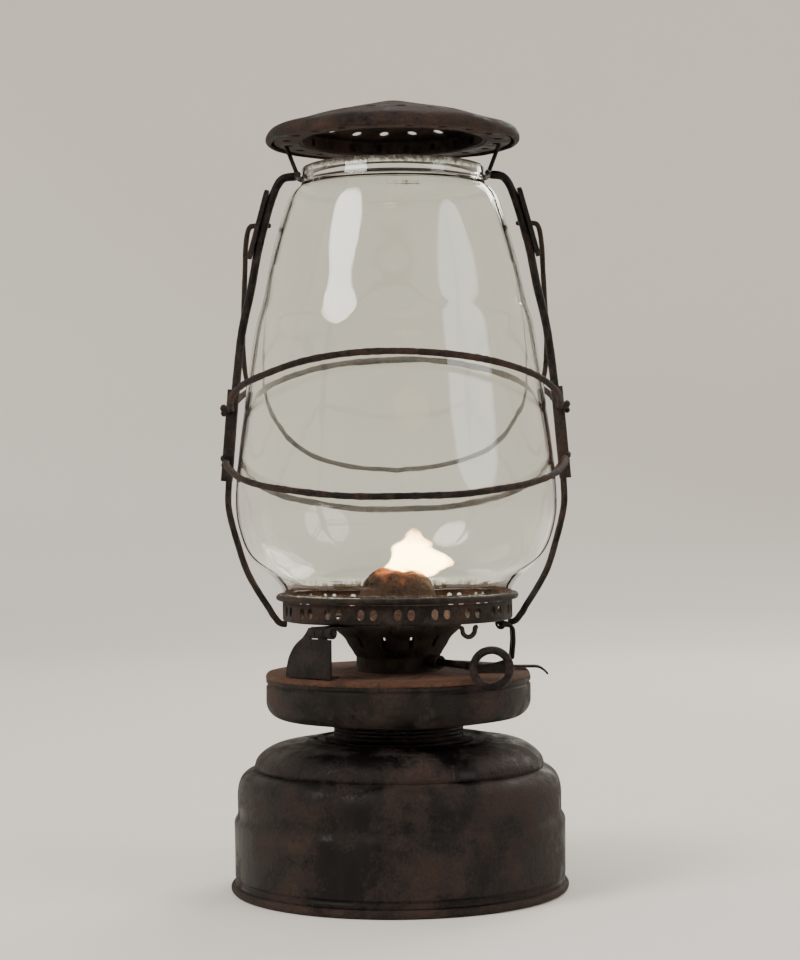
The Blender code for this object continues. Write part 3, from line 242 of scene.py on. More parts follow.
outline += [(upper_radius + 0.0003, 0.0288), (tank_radius - 0.0004, 0.0276), (tank_radius, 0.0266),
            (tank_radius, 0.0240), (tank_radius, 0.0180), (tank_radius, 0.0120), (tank_radius, 0.0066),
            (tank_radius - 0.0005, 0.0060), (tank_radius - 0.0005, 0.0054), (tank_radius, 0.0048),
            (tank_radius, tank_foot)]
tank = spun("fount_tank", walled(outline, SHEET), steps=220, dents=0.0011, dent_size=26.0, seed=3.1)
fitted(tank, "fount", "blackened_tin", tank_black, "tank_shell")

collar_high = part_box("tank_collar")[1]
collar_top = collar_high.z
collar_radius = 0.0246
flange_radius = collar_high.x
bore = collar_radius - 0.0030
section = [(bore, collar_top), (collar_radius - 0.0007, collar_top), (collar_radius - 0.0002, collar_top - 0.0002),
           (collar_radius, collar_top - 0.0007)]
for turn in range(3):
    groove = collar_top - 0.0014 - 0.0014 * turn
    section += [(collar_radius, groove + 0.0003), (collar_radius - 0.0004, groove), (collar_radius, groove - 0.0003)]
section += [(collar_radius, tank_top + 0.0015), (collar_radius + 0.0004, tank_top + 0.0012),
            (flange_radius - 0.0003, tank_top + 0.0011), (flange_radius, tank_top + 0.0008),
            (flange_radius, tank_top + 0.0003), (collar_radius, tank_top + 0.0003),
            (collar_radius, 0.0518), (bore, 0.0518)]
collar = spun("fount_collar", section, steps=120)
fitted(collar, "fount", "blackened_tin", tank_black, "tank_collar")


def plain_finish(name, dark, light, scale, roughness, relief):
    """A soft or matt stuff, mottled from dark to light."""
    finish = bpy.data.materials.new(name)
    finish.use_nodes = True
    tree = finish.node_tree
    shader = tree.nodes["Principled BSDF"]
    place = add_node(tree, "TexCoord").outputs["Object"]
    speckle = add_node(tree, "TexNoise", {"Vector": place, "Scale": scale, "Detail": 5.0, "Roughness": 0.7})
    tree.links.new(ramp(tree, speckle.outputs["Fac"], [(0.35, dark), (0.65, light)]), shader.inputs["Base Color"])
    bump = add_node(tree, "Bump", {"Height": speckle.outputs["Fac"], "Strength": 0.8, "Distance": relief})
    tree.links.new(bump.outputs["Normal"], shader.inputs["Normal"])
    shader.inputs["Roughness"].default_value = roughness
    return finish


refinished("collar_gasket", plain_finish("old_cork", (0.06, 0.032, 0.018), (0.22, 0.13, 0.07), 900.0, 0.95, 0.0003))

# ---------------------------------------------------------------- drum
# The flat can on top of the fount, with the burner standing on its lid. Its lid is folded
# over the can's edge; soot and heat have left the lid coarse with brown rust.
drum_black = old_metal("drum_black", (0.013, 0.010, 0.008), RUST, 0.40, gloss=0.44)
lid_rust = old_metal("drum_lid_rust", (0.025, 0.015, 0.010), (0.116, 0.044, 0.017), 0.92, gloss=0.6,
                     patch=110.0, grain=0.00034)
drum_low, drum_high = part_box("drum_shell")
lid_low, lid_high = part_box("drum_lid")
drum_radius = drum_high.x
drum_bottom = drum_low.z
drum_top = lid_high.z
ferrule_hole = 0.0213
outline = [(drum_radius, drum_high.z), (drum_radius, drum_high.z - 0.0012), (drum_radius - 0.0005, drum_high.z - 0.0018),
           (drum_radius - 0.0005, drum_high.z - 0.0023), (drum_radius, drum_high.z - 0.0029)]
outline += arc(drum_radius - 0.0070, drum_bottom + 0.0070, 0.0070, 0, -90, 16)
outline += [(0.0360, drum_bottom), (0.0300, drum_bottom), (ferrule_hole, drum_bottom)]
can = spun("drum_can", walled(outline, SHEET), steps=200, dents=0.0007, dent_size=32.0, seed=8.4)
fitted(can, "head", "blackened_tin", drum_black, "drum_shell")

neck_hole = 0.0161
outline = [(neck_hole, drum_top), (0.0190, drum_top), (0.0200, drum_top - 0.0004), (0.0212, drum_top - 0.0004),
           (0.0222, drum_top), (0.0300, drum_top - 0.0001), (0.0390, drum_top - 0.0002), (0.0440, drum_top - 0.0001),
           (0.0462, drum_top), (0.0474, drum_top)]
outline += arc(drum_radius - 0.0019, drum_top - 0.0019, 0.0019, 82, 0, 8)
outline += [(drum_radius, lid_low.z)]
lid = spun("drum_top_lid", walled(outline, SHEET), steps=200, dents=0.0004, dent_size=70.0, seed=1.7)
fitted(lid, "head", "rusted_tin", lid_rust, "drum_lid")

brass = old_metal("tarnished_brass", (0.028, 0.018, 0.009), (0.041, 0.020, 0.010), 0.50, gloss=0.42, metal=0.85)
refinished("screw_ferrule", brass)

# ---------------------------------------------------------------- burner cup
# The burner's bowl: a straight neck pushed into the lid, flared out with slots cut through
# the flare for air. Brass under brown tarnish and soot.


def settled(piece, corner=38.0):
    """Works the piece's modifiers or curve into its mesh, and marks its corners."""
    bpy.context.view_layer.update()
    shown = piece.evaluated_get(bpy.context.evaluated_depsgraph_get())
    mesh = bpy.data.meshes.new_from_object(shown)
    name = piece.name
    bpy.data.objects.remove(piece, do_unlink=True)
    form = bmesh.new()
    form.from_mesh(mesh)
    bpy.data.meshes.remove(mesh)
    bmesh.ops.remove_doubles(form, verts=form.verts, dist=0.000002)
    return as_piece(name, form, corner)


def punched(piece, tool, corner=38.0):
    """Cuts the tool's shapes out of the piece."""
    punch = as_piece("punch", tool)
    hole = piece.modifiers.new("Holes", "BOOLEAN")
    hole.operation = "DIFFERENCE"
    hole.solver = "EXACT"
    hole.object = punch
    done = settled(piece, corner)
    bpy.data.objects.remove(punch, do_unlink=True)
    return done


def around(angle, radius, height=0.0):
    """A place turned about the lantern's axis, X pointing outwards."""
    return Matrix.Rotation(angle, 4, "Z") @ Matrix.Translation((radius, 0, height))


def add_block(form, size, place):
    bmesh.ops.create_cube(form, size=1.0, matrix=place @ Matrix.Diagonal((*size, 1.0)))


def add_rod(form, radius, length, place, sides=24):
    bmesh.ops.create_cone(form, cap_ends=True, segments=sides, radius1=radius, radius2=radius, depth=length,
                          matrix=place)


ALONG_X = Matrix.Rotation(math.pi / 2, 4, "Y")
ALONG_Y = Matrix.Rotation(math.pi / 2, 4, "X")
bowl_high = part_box("burner_cup")[1]
bowl_radius = bowl_high.x
bowl_top = bowl_high.z
neck_radius = 0.0158
neck_top = drum_top + 0.0055
outline = [(bowl_radius, bowl_top), (bowl_radius, bowl_top - 0.0012)]
outline += flowing([(bowl_radius, bowl_top - 0.0016), (bowl_radius - 0.0008, bowl_top - 0.0034),
                    (bowl_radius - 0.0040, bowl_top - 0.0064), (neck_radius + 0.0029, drum_top + 0.0098),
                    (neck_radius + 0.0014, drum_top + 0.0076), (neck_radius + 0.0009, drum_top + 0.0066)], 5)
outline += [(neck_radius + 0.0004, neck_top + 0.0004), (neck_radius, neck_top), (neck_radius, drum_top - 0.0040)]
cup = spun("burner_bowl", walled(outline, SHEET), steps=160, dents=0.0003, dent_size=90.0, seed=5.0)
slots = bmesh.new()
for i in range(12):
    place = around(math.tau * (i + 0.5) / 12, 0.0203, bowl_top - 0.0075) @ Matrix.Rotation(math.radians(40), 4, "Y")
    add_block(slots, (0.0060, 0.0016, 0.0052), place)
winder_turn = math.radians(-59.0)
winder_line = Matrix.Rotation(winder_turn, 4, "Z") @ Matrix.Translation((0, 0.0048, 0.0867))
add_rod(slots, 0.0017, 0.0200, winder_line @ Matrix.Translation((neck_radius, 0, 0)) @ ALONG_X)
cup = punched(cup, slots)
fitted(cup, "head", "dull_brass", brass, "burner_cup")
refinished("air_plate", brass)
refinished("wick_tube", brass)
refinished("winder_sleeve", brass)

# ---------------------------------------------------------------- burner cone
# The domed deflector over the wick, with a slot for the flame. Thin sheet, burnt, buckled
# and crusted with rust and carbon.
cone_crust = old_metal("cone_crust", (0.022, 0.014, 0.010), (0.083, 0.034, 0.015), 0.85, gloss=0.7, patch=240.0,
                       grain=0.0004)
cone_low, cone_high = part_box("burner_cone")
cone_top = cone_high.z
cone_foot = cone_low.z
cone_rim = cone_high.x
outline = flowing([(0.0002, cone_top), (0.0055, cone_top - 0.0007), (0.0100, cone_top - 0.0032),
                   (0.0132, cone_top - 0.0080), (0.0146, cone_top - 0.0125), (0.0172, cone_top - 0.0170),
                   (cone_rim - 0.0016, cone_foot + 0.0014), (cone_rim, cone_foot + 0.0006)], 6)
cone = spun("burner_cone_dome", walled(outline, 0.0006), steps=140, dents=0.0012, dent_size=210.0, seed=2.2,
            corner=60.0)
slot_tool = bmesh.new()
add_block(slot_tool, (0.0160, 0.0044, 0.0120), around(winder_turn, 0.0, cone_top))
cone = punched(cone, slot_tool, corner=60.0)
fitted(cone, "head", "rusted_tin", cone_crust, "burner_cone")

# ---------------------------------------------------------------- winder
# A steel rod through the burner's neck with two toothed wheels on it, which lift the wick.
# Outside, its flat crossbar is held in a heavy wire ring that the fingers turn.


def bent_wire(name, points, radius, lumps=0.0, sway=0.0, ring=False, sides=5, seed=0.0, radii=None):
    """A length of round wire along the points. Lumps are rust on it, and sway its hand-bent line."""
    curve = bpy.data.curves.new(name, "CURVE")
    curve.dimensions = "3D"
    curve.bevel_depth = 1.0
    curve.bevel_resolution = sides
    curve.use_fill_caps = not ring
    spline = curve.splines.new("POLY")
    spline.points.add(len(points) - 1)
    spline.use_cyclic_u = ring
    drift = Vector((seed, seed * 0.7, 0))
    for i, point in enumerate(points):
        spot = Vector(point)
        swell = 1.0 + lumps * (noise.noise(spot * 420 + drift) + 0.6 * noise.noise(spot * 1100 + drift))
        spot = spot + sway * noise.noise_vector(spot * 38 + drift)
        spline.points[i].co = (*spot, 1.0)
        spline.points[i].radius = (radii[i] if radii else radius) * swell
    if not ring:
        for end in (0, -1):
            spline.points[end].radius *= 0.6
    piece = bpy.data.objects.new(name, curve)
    bpy.context.collection.objects.link(piece)
    return settled(piece, 50.0)


def stretched(points, spacing):
    """The same path with points at even spacing along it."""
    path = [Vector(p) for p in points]
    out = [path[0]]
    carry = 0.0
    for a, b in zip(path, path[1:]):
        length = (b - a).length
        at = spacing - carry
        while at < length:
            out.append(a.lerp(b, at / length))
            at += spacing
        carry = (carry + length) % spacing
    if (path[-1] - out[-1]).length > spacing * 0.3:
        out.append(path[-1])
    return [tuple(p) for p in out]


def cut_sheet(name, outlines, thickness, place=None, edge=0.00018):
    """A flat piece cut from sheet, its edges eased, laid at its place."""
    curve = bpy.data.curves.new(name, "CURVE")
    curve.dimensions = "2D"
    curve.fill_mode = "BOTH"
    curve.extrude = thickness / 2 - edge
    curve.bevel_depth = edge
    curve.bevel_resolution = 2
    curve.offset = -edge
    for outline in outlines:
        spline = curve.splines.new("POLY")
        spline.points.add(len(outline) - 1)
        spline.use_cyclic_u = True
        for point, (x, y) in zip(spline.points, outline):
            point.co = (x, y, 0.0, 1.0)
    flat = bpy.data.objects.new(name, curve)
    bpy.context.collection.objects.link(flat)
    piece = settled(flat)
    if place is not None:
        piece.data.transform(place)
    return piece


def joined(name, *pieces):
    """Several shapes of one piece as one mesh."""
    form = bmesh.new()
    for piece in pieces:
        form.from_mesh(piece.data)
        bpy.data.objects.remove(piece, do_unlink=True)
    return as_piece(name, form)


wire_black = old_metal("wire_black", (0.013, 0.010, 0.009), RUST, 0.30, gloss=0.38, metal=0.8, patch=120.0)
ring_low, ring_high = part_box("winder_ring")
ring_centre = (ring_low + ring_high) / 2
ring_wire = (ring_high.y - ring_low.y) / 2
ring_radius = (ring_high.x - ring_low.x) / 2 - ring_wire
loop = [(ring_centre.x + x, ring_centre.y, ring_centre.z + z) for x, z in arc(0, 0, ring_radius, 0, 355, 71)]
ring = bent_wire("winder_finger_ring", loop, ring_wire * 0.98, lumps=0.05, ring=True, sides=7, seed=4.0)
fitted(ring, "winder", "dark_wire", wire_black, "winder_ring")

bar_reach = ring_radius + ring_wire * 0.8
bar_plate = 0.0012
bar_level = ring_centre.y + ring_wire + 0.0003 + bar_plate / 2
bar = [(-bar_reach, -0.0015), (-bar_reach + 0.0004, -0.0019), (bar_reach - 0.0004, -0.0019), (bar_reach, -0.0015),
       (bar_reach, 0.0024), (bar_reach - 0.0006, 0.0030), (0.0044, 0.0029), (0.0008, 0.0018), (-0.0030, 0.0013),
       (-bar_reach, 0.0012)]
stand_up = Matrix.Translation((ring_centre.x, bar_level, ring_centre.z)) @ ALONG_Y
crossbar = cut_sheet("crossbar", [bar], bar_plate, stand_up)
along = Vector((math.cos(winder_turn), math.sin(winder_turn), 0))
bar_at = Vector((ring_centre.x, ring_centre.y, ring_centre.z)) - along * ((ring_wire + 0.0009) / -along.y)
rod_start = winder_line @ Vector((-0.0080, 0, 0))
rod_line = stretched([rod_start, bar_at], 0.0006)
rod = bent_wire("rod", rod_line, 0.0014, lumps=0.03, sides=5)
spindle = joined("winder_rod", rod, crossbar)
fitted(spindle, "winder", "dark_wire", wire_black, "winder_spindle")
refinished("spur_wheel_1", brass)
refinished("spur_wheel_2", brass)

# ---------------------------------------------------------------- wick
# A flat ribbon of woven cotton that hangs in the oil and rises through the tube to the
# flame. Oil-stained below, charred black at its top.
wick_low, wick_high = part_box("wick")
wick_tall = wick_high.z - wick_low.z
form = bmesh.new()
add_block(form, (0.0120, 0.0020, wick_tall), around(winder_turn, 0.0, wick_low.z + wick_tall / 2))
bmesh.ops.subdivide_edges(form, edges=form.edges, cuts=9, use_grid_fill=True)
top_cut = bmesh.ops.bevel(form, geom=[e for e in form.edges if len(e.link_faces) == 2 and
                                      e.link_faces[0].normal.dot(e.link_faces[1].normal) < 0.5],
                          offset=0.0005, segments=3, profile=0.5, affect="EDGES", material=-1)
ribbon = as_piece("woven_wick", form)
cotton = bpy.data.materials.new("lamp_cotton")
cotton.use_nodes = True
tree = cotton.node_tree
shader = tree.nodes["Principled BSDF"]
place = add_node(tree, "TexCoord").outputs["Object"]
turned = add_node(tree, "Mapping", {"Vector": place, "Rotation": (0.0, 0.0, -winder_turn)})
weave = add_node(tree, "TexWave", {"Vector": turned.outputs["Vector"], "Scale": 260.0, "Distortion": 1.2},
                 bands_direction="X")
weft = add_node(tree, "TexWave", {"Vector": turned.outputs["Vector"], "Scale": 200.0, "Distortion": 1.2},
                bands_direction="Z")
cloth = add_node(tree, "Math", {0: weave.outputs["Fac"], 1: weft.outputs["Fac"]}, operation="MULTIPLY")
height = add_node(tree, "SeparateXYZ", {"Vector": place}).outputs["Z"]
char = add_node(tree, "MapRange", {"Value": height, "From Min": wick_high.z - 0.009, "From Max": wick_high.z - 0.002})
clean = ramp(tree, cloth.outputs[0], [(0.0, (0.16, 0.11, 0.06)), (0.8, (0.42, 0.32, 0.20))])
burnt = add_node(tree, "Mix", {0: char.outputs["Result"], 6: clean, 7: (0.012, 0.010, 0.009, 1.0)}, data_type="RGBA")
tree.links.new(burnt.outputs[2], shader.inputs["Base Color"])
shader.inputs["Roughness"].default_value = 0.95
bump = add_node(tree, "Bump", {"Height": cloth.outputs[0], "Strength": 0.8, "Distance": 0.0003})
tree.links.new(bump.outputs["Normal"], shader.inputs["Normal"])
fitted(ribbon, "wick", "cotton", cotton, "wick")

# ---------------------------------------------------------------- hinge
# The gallery tips over on this hinge: a fin of sheet folded up from a foot on the drum's
# lid, curved on one side, its top rolled round a pin that the gallery's two ears share.
hinge_black = old_metal("hinge_black", BLACK, RUST, 0.25, gloss=0.45)
pin_low, pin_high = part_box("hinge_pin")
pin_centre = (pin_low + pin_high) / 2
hinge_turn = math.radians(229.0)
hinge_place = Matrix.Translation(pin_centre) @ Matrix.Rotation(hinge_turn, 4, "Z")
fin_place = hinge_place @ Matrix.Rotation(math.pi / 2, 4, "Z") @ Matrix.Rotation(math.pi / 2, 4, "X")
fin_foot = drum_top + 0.0003 - pin_centre.z
fin_right, fin_left = 0.0040, -0.0184
knuckle_radius = 0.0021
fin_neck = -knuckle_radius - 0.0003
curved = [(fin_left + x, fin_foot + (fin_neck - fin_foot) * share) for x, share in flowing(
    [(0.0, 0.0), (0.0004, 0.22), (0.0018, 0.53), (0.0043, 0.79), (0.0068, 0.94), (0.0082, 1.0)], 5)]
horn = [(-0.0057, fin_neck), (-0.0057, 0.0018), (-0.0066, 0.0017), (-0.0083, -0.0006)]
fin = [(fin_right, fin_foot), (fin_right, fin_neck), (0.0020, fin_neck), (0.0020, -0.0006), (-0.0020, -0.0006),
       (-0.0020, fin_neck)] + horn + curved[::-1]
leaf = cut_sheet("leaf", [fin], 0.0012, fin_place, edge=0.00025)
foot_plate = [(fin_left, -0.0003), (fin_right, -0.0003), (fin_right - 0.0012, -0.0052), (fin_left + 0.0020, -0.0052)]
foot_place = fin_place @ Matrix.Translation((0, fin_foot + 0.0005, 0)) @ Matrix.Rotation(math.pi / 2, 4, "X")
flange = cut_sheet("flange", [foot_plate], 0.0009, foot_place)


def knuckle(name, length, across, place):
    """A short tube rolled from sheet, lying along the hinge's pin."""
    hole = arc(0, 0, 0.0011, 0, 345, 23)
    tube = cut_sheet(name, [arc(0, 0, knuckle_radius, 0, 350, 35), hole], length,
                     place @ Matrix.Translation((0, across, 0)) @ ALONG_Y, edge=0.00012)
    return tube


bracket = joined("hinge_fin", leaf, flange, knuckle("roll", 0.0040, 0.0, hinge_place))
fitted(bracket, "head", "blackened_tin", hinge_black, "hinge_bracket")
refinished("hinge_pin", wire_black)
refinished("hinge_ears", hinge_black)

# ---------------------------------------------------------------- latch
# A springy tongue riveted to the lid and bent down past its rim, and a loose wire link that
# hangs from a lug under the gallery and snaps over the tongue.
tongue_low, tongue_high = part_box("latch_tongue")
tongue_tip = tongue_high.x
tongue_level = drum_top + 0.0003 + SHEET / 2
strip = flowing([(0.0259, tongue_level), (0.0319, tongue_level), (0.0344, tongue_level + 0.0012),
                 (0.0409, tongue_level + 0.0012), (0.0439, tongue_level + 0.0004), (0.0500, tongue_level + 0.0003),
                 (0.0533, tongue_level + 0.0001), (0.0555, tongue_level - 0.0012), (0.0568, tongue_level - 0.0026)], 4)
form = bmesh.new()
run = [form.verts.new((x, -0.0030, z)) for x, z in strip]
edges = [form.edges.new(pair) for pair in zip(run, run[1:])]
swept = bmesh.ops.extrude_edge_only(form, edges=edges)
bmesh.ops.translate(form, verts=[v for v in swept["geom"] if isinstance(v, bmesh.types.BMVert)], vec=(0, 0.0060, 0))
bmesh.ops.recalc_face_normals(form, faces=form.faces)
tongue = as_piece("spring_tongue", form)
thick = tongue.modifiers.new("Sheet", "SOLIDIFY")
thick.thickness = SHEET
thick.offset = 0.0
soft = tongue.modifiers.new("Edges", "BEVEL")
soft.width = 0.0002
soft.segments = 2
tongue = settled(tongue)
fitted(tongue, "head", "rusted_tin", seam_rust, "latch_tongue")

link_low, link_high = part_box("latch_link")
latch_wire = 0.0008
half = link_high.y - latch_wire
pivot = (0.0390, 0.0997)
side = [(0.0, 0.0), (0.0034, -0.0002), (0.0046, -0.0016), (0.0048, -0.0062), (0.0042, -0.0124)]
link_line = [(pivot[0] + x, -half, pivot[1] + z) for x, z in side]
link_line += [(pivot[0] + x, half, pivot[1] + z) for x, z in reversed(side)]
link_line.append(link_line[0])
rounded = []
for a, b, c in zip([link_line[-2]] + link_line[:-2], link_line[:-1], link_line[1:]):
    a, b, c = Vector(a), Vector(b), Vector(c)
    near = b.lerp(a, min(0.3, 0.0009 / (a - b).length))
    far = b.lerp(c, min(0.3, 0.0009 / (c - b).length))
    rounded += [near, (near + far + 2 * b) / 4, far]
link = bent_wire("latch_wire_link", [tuple(p) for p in rounded], latch_wire, lumps=0.0, ring=True, sides=4, seed=9.0)
fitted(link, "latch", "dark_wire", wire_black, "latch_link")
refinished("latch_lug", hinge_black)

# ---------------------------------------------------------------- gallery
# The shallow cup that holds the globe's foot: a band pierced with pairs of oval air holes,
# its floor open over the burner, and a heavy wire rolled into its rim.
gallery_black = old_metal("gallery_black", (0.013, 0.010, 0.008), RUST, 0.38, gloss=0.48, patch=90.0)
gallery_low, gallery_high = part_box("gallery")
gallery_radius = gallery_high.x
gallery_bottom = gallery_low.z
gallery_top = gallery_high.z
outline = [(gallery_radius, gallery_top)] + arc(gallery_radius - 0.0010, gallery_bottom + 0.0010, 0.0010, 0, -90, 5)
outline += [(0.0380, gallery_bottom), (0.0320, gallery_bottom), (0.0265, gallery_bottom)]
band = spun("gallery_band", walled(outline, SHEET), steps=200, dents=0.0002, dent_size=60.0, seed=6.0)
holes = bmesh.new()
pair_angle = math.radians(6.3)
oval = Matrix.Diagonal((1.4, 1.0, 1.0, 1.0))
for i in range(20):
    for step in (-0.5, 0.5):
        angle = math.tau * i / 20 + step * pair_angle + math.pi / 2 + math.radians(3.5)
        add_rod(holes, 0.00142, 0.0032, around(angle, gallery_radius, (gallery_bottom + gallery_top) / 2 + 0.0004)
                @ ALONG_X @ oval, 20)
band = punched(band, holes, corner=45.0)
fitted(band, "globe_frame", "blackened_tin", gallery_black, "gallery")

rim_low, rim_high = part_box("gallery_rim")
rim_wire = (rim_high.z - rim_low.z) / 2
rim = spun("gallery_rolled_rim", arc(rim_high.x - rim_wire, (rim_low.z + rim_high.z) / 2, rim_wire, 90, -240, 11),
           steps=200, dents=0.0003, dent_size=120.0, seed=11.0, corner=80.0)
fitted(rim, "globe_frame", "blackened_tin", gallery_black, "gallery_rim")

tab_low, tab_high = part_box("gallery_tab")
tab_turn = math.radians(-52.0)
tab_loop = [(-0.0041, 0.0), (-0.0031, -0.0003), (-0.0028, -0.0018), (-0.0020, -0.0028), (-0.0009, -0.0034),
            (0.0, -0.0035), (0.0009, -0.0034), (0.0020, -0.0028), (0.0028, -0.0018), (0.0031, -0.0003), (0.0041, 0.0)]
tab_place = around(tab_turn, gallery_radius - 0.0014, gallery_bottom - 0.0012) @ Matrix.Rotation(math.pi / 2, 4, "Z")
tab_line = [tuple(tab_place @ Vector((x, 0, z))) for x, z in flowing(tab_loop, 4)]
tab = bent_wire("gallery_lift_tab", tab_line, 0.0009, lumps=0.12, sides=4, seed=12.0)
fitted(tab, "globe_frame", "rusted_tin", seam_rust, "gallery_tab")

# ---------------------------------------------------------------- globe
# The clear blown-glass globe that shields the flame, thick at its foot, drawn in to a short
# straight neck. Clear with a faint green edge, sooty at its mouth and dusty inside.
globe_low, globe_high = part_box("globe")
globe_foot = globe_low.z
globe_top = globe_high.z
belly = globe_high.x
outline = flowing([(0.0348, globe_top - 0.0060), (0.0356, globe_top - 0.0073), (0.0403, globe_top - 0.0130),
                   (0.0460, globe_top - 0.0320), (0.0500, globe_top - 0.0510), (0.0530, globe_top - 0.0622),
                   (0.0570, globe_top - 0.0890), (0.0595, globe_top - 0.1080), (belly, globe_foot + 0.0390),
                   (0.0599, globe_foot + 0.0280), (0.0557, globe_foot + 0.0170), (0.0472, globe_foot + 0.0086),
                   (0.0437, globe_foot + 0.0040), (0.0433, globe_foot + 0.0006)], 7)
section = [(0.0335, globe_top), (0.0342, globe_top - 0.0003), (0.0346, globe_top - 0.0010)] + outline
section += [(0.0428, globe_foot), (0.0414, globe_foot)]
inner = []
for r, z in reversed(outline[2:-4]):
    inner.append((r - 0.0023, z))
section += [(0.0409, globe_foot + 0.0008), (0.0410, globe_foot + 0.0035)] + inner
section += [(0.0323, globe_top - 0.0060), (0.0323, globe_top - 0.0010), (0.0327, globe_top - 0.0002)]
globe = spun("glass_globe", section, steps=180, dents=0.00012, dent_size=28.0, seed=7.0, corner=80.0)
glass = bpy.data.materials.new("lantern_glass")
glass.use_nodes = True
tree = glass.node_tree
shader = tree.nodes["Principled BSDF"]
shader.inputs["Base Color"].default_value = (0.935, 0.955, 0.905, 1.0)
shader.inputs["Transmission Weight"].default_value = 1.0
shader.inputs["IOR"].default_value = 1.47
place = add_node(tree, "TexCoord").outputs["Object"]
height = add_node(tree, "SeparateXYZ", {"Vector": place}).outputs["Z"]
wave = add_node(tree, "TexNoise", {"Vector": place, "Scale": 45.0, "Detail": 2.0})
bump = add_node(tree, "Bump", {"Height": wave.outputs["Fac"], "Strength": 0.25, "Distance": 0.0006})
tree.links.new(bump.outputs["Normal"], shader.inputs["Normal"])
smears = add_node(tree, "TexNoise", {"Vector": place, "Scale": 32.0, "Detail": 9.0, "Roughness": 0.7})
haze = add_node(tree, "MapRange", {"Value": smears.outputs["Fac"], "From Min": 0.45, "From Max": 0.75,
                                   "To Min": 0.0, "To Max": 0.10})
tree.links.new(haze.outputs["Result"], shader.inputs["Roughness"])
clear = add_node(tree, "BsdfTransparent", {"Color": (0.97, 0.98, 0.96, 1.0)})
rays = add_node(tree, "LightPath")
lit = add_node(tree, "MixShader", {0: rays.outputs["Is Shadow Ray"], 1: shader.outputs["BSDF"],
                                   2: clear.outputs["BSDF"]})
soot_skin = add_node(tree, "BsdfPrincipled", {"Base Color": (0.035, 0.024, 0.017, 1.0), "Roughness": 0.9})
specks = add_node(tree, "TexNoise", {"Vector": place, "Scale": 420.0, "Detail": 6.0, "Roughness": 0.75})
mouth = add_node(tree, "MapRange", {"Value": height, "From Min": globe_top - 0.0045, "From Max": globe_top + 0.0004,
                                    "To Min": 0.0, "To Max": 0.62})
foot_dirt = add_node(tree, "MapRange", {"Value": height, "From Min": globe_foot + 0.0075,
                                        "From Max": globe_foot + 0.0005, "To Min": 0.0, "To Max": 0.35})
dirt = add_node(tree, "Math", {0: mouth.outputs["Result"], 1: foot_dirt.outputs["Result"]}, operation="ADD")
dirt = add_node(tree, "Math", {0: dirt.outputs[0], 1: specks.outputs["Fac"]}, operation="ADD")
sooty = add_node(tree, "MapRange", {"Value": dirt.outputs[0], "From Min": 0.72, "From Max": 1.0, "To Min": 0.0,
                                    "To Max": 0.9})
worn = add_node(tree, "MixShader", {0: sooty.outputs["Result"], 1: lit.outputs["Shader"],
                                    2: soot_skin.outputs["BSDF"]})
tree.links.new(worn.outputs["Shader"], tree.nodes["Material Output"].inputs["Surface"])
fitted(globe, "globe_frame", "clear_glass", glass, "globe")

# ---------------------------------------------------------------- wire frame
# An open ring sprung round the back of the globe's neck carries two heavy wires that run down each side of
# the glass and hook under the gallery, and two short struts that hold the hood.
neck_low, neck_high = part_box("neck_ring")
neck_wire = 0.0011
neck_radius_out = neck_high.y - neck_wire
neck_level = neck_low.z + neck_wire
neck_rise = neck_high.z - neck_low.z - 2 * neck_wire
lap = math.radians(12.0)
hoop = []
for i in range(121):
    angle = -lap + (math.pi + 2 * lap) * i / 120
    hoop.append((neck_radius_out * math.cos(angle), neck_radius_out * math.sin(angle),
                 neck_level + neck_rise * max(0.0, math.sin(angle)) ** 2))
neck = bent_wire("neck_spring_ring", hoop, neck_wire, lumps=0.06, sides=4, seed=13.0)
fitted(neck, "globe_frame", "dark_wire", wire_black, "neck_ring")

frame_line = [(0.0363, 0.2704), (0.0390, 0.2703), (0.0413, 0.2699), (0.0426, 0.2690), (0.0439, 0.2672),
              (0.0452, 0.2644), (0.0469, 0.2596), (0.0493, 0.2511), (0.0517, 0.2416), (0.0532, 0.2339),
              (0.0546, 0.2266), (0.0579, 0.2116), (0.0603, 0.1926), (0.0622, 0.1736), (0.0631, 0.1625),
              (0.0637, 0.1526), (0.0639, 0.1471), (0.0634, 0.1426), (0.0619, 0.1362), (0.0600, 0.1296),
              (0.0583, 0.1240), (0.0561, 0.1186), (0.0525, 0.1122), (0.0490, 0.1067), (0.0476, 0.1042),
              (0.0466, 0.1029), (0.0455, 0.1014), (0.0444, 0.1006), (0.0433, 0.1004), (0.0420, 0.1004)]
frame_wire, frame_wire_low = 0.0016, 0.00125
thin_below = 0.1616
for hand, turn in (("left", -1), ("right", 1)):
    path = stretched([(turn * r, 0.0, z) for r, z in flowing(frame_line, 4)], 0.0009)
    thick = [frame_wire if z > thin_below else frame_wire_low for _, _, z in path]
    upright = bent_wire(f"frame_upright_{hand}", path, frame_wire, lumps=0.05, sway=0.00015, seed=14.0 + turn,
                        radii=thick)
    fitted(upright, "globe_frame", "dark_wire", wire_black, f"frame_wire_{hand}")

    strut_low, strut_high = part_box(f"strut_{hand}")
    inner_x = neck_radius_out * turn
    outer_x = (strut_high.x if turn > 0 else strut_low.x) - turn * 0.0008
    stay = stretched([(inner_x, 0, strut_low.z - 0.0006), (outer_x, 0, strut_high.z - 0.0006)], 0.0006)
    strut = bent_wire(f"hood_strut_{hand}", stay, 0.0008, lumps=0.06, sides=4, seed=16.0 + turn)
    fitted(strut, "globe_frame", "dark_wire", wire_black, f"strut_{hand}")

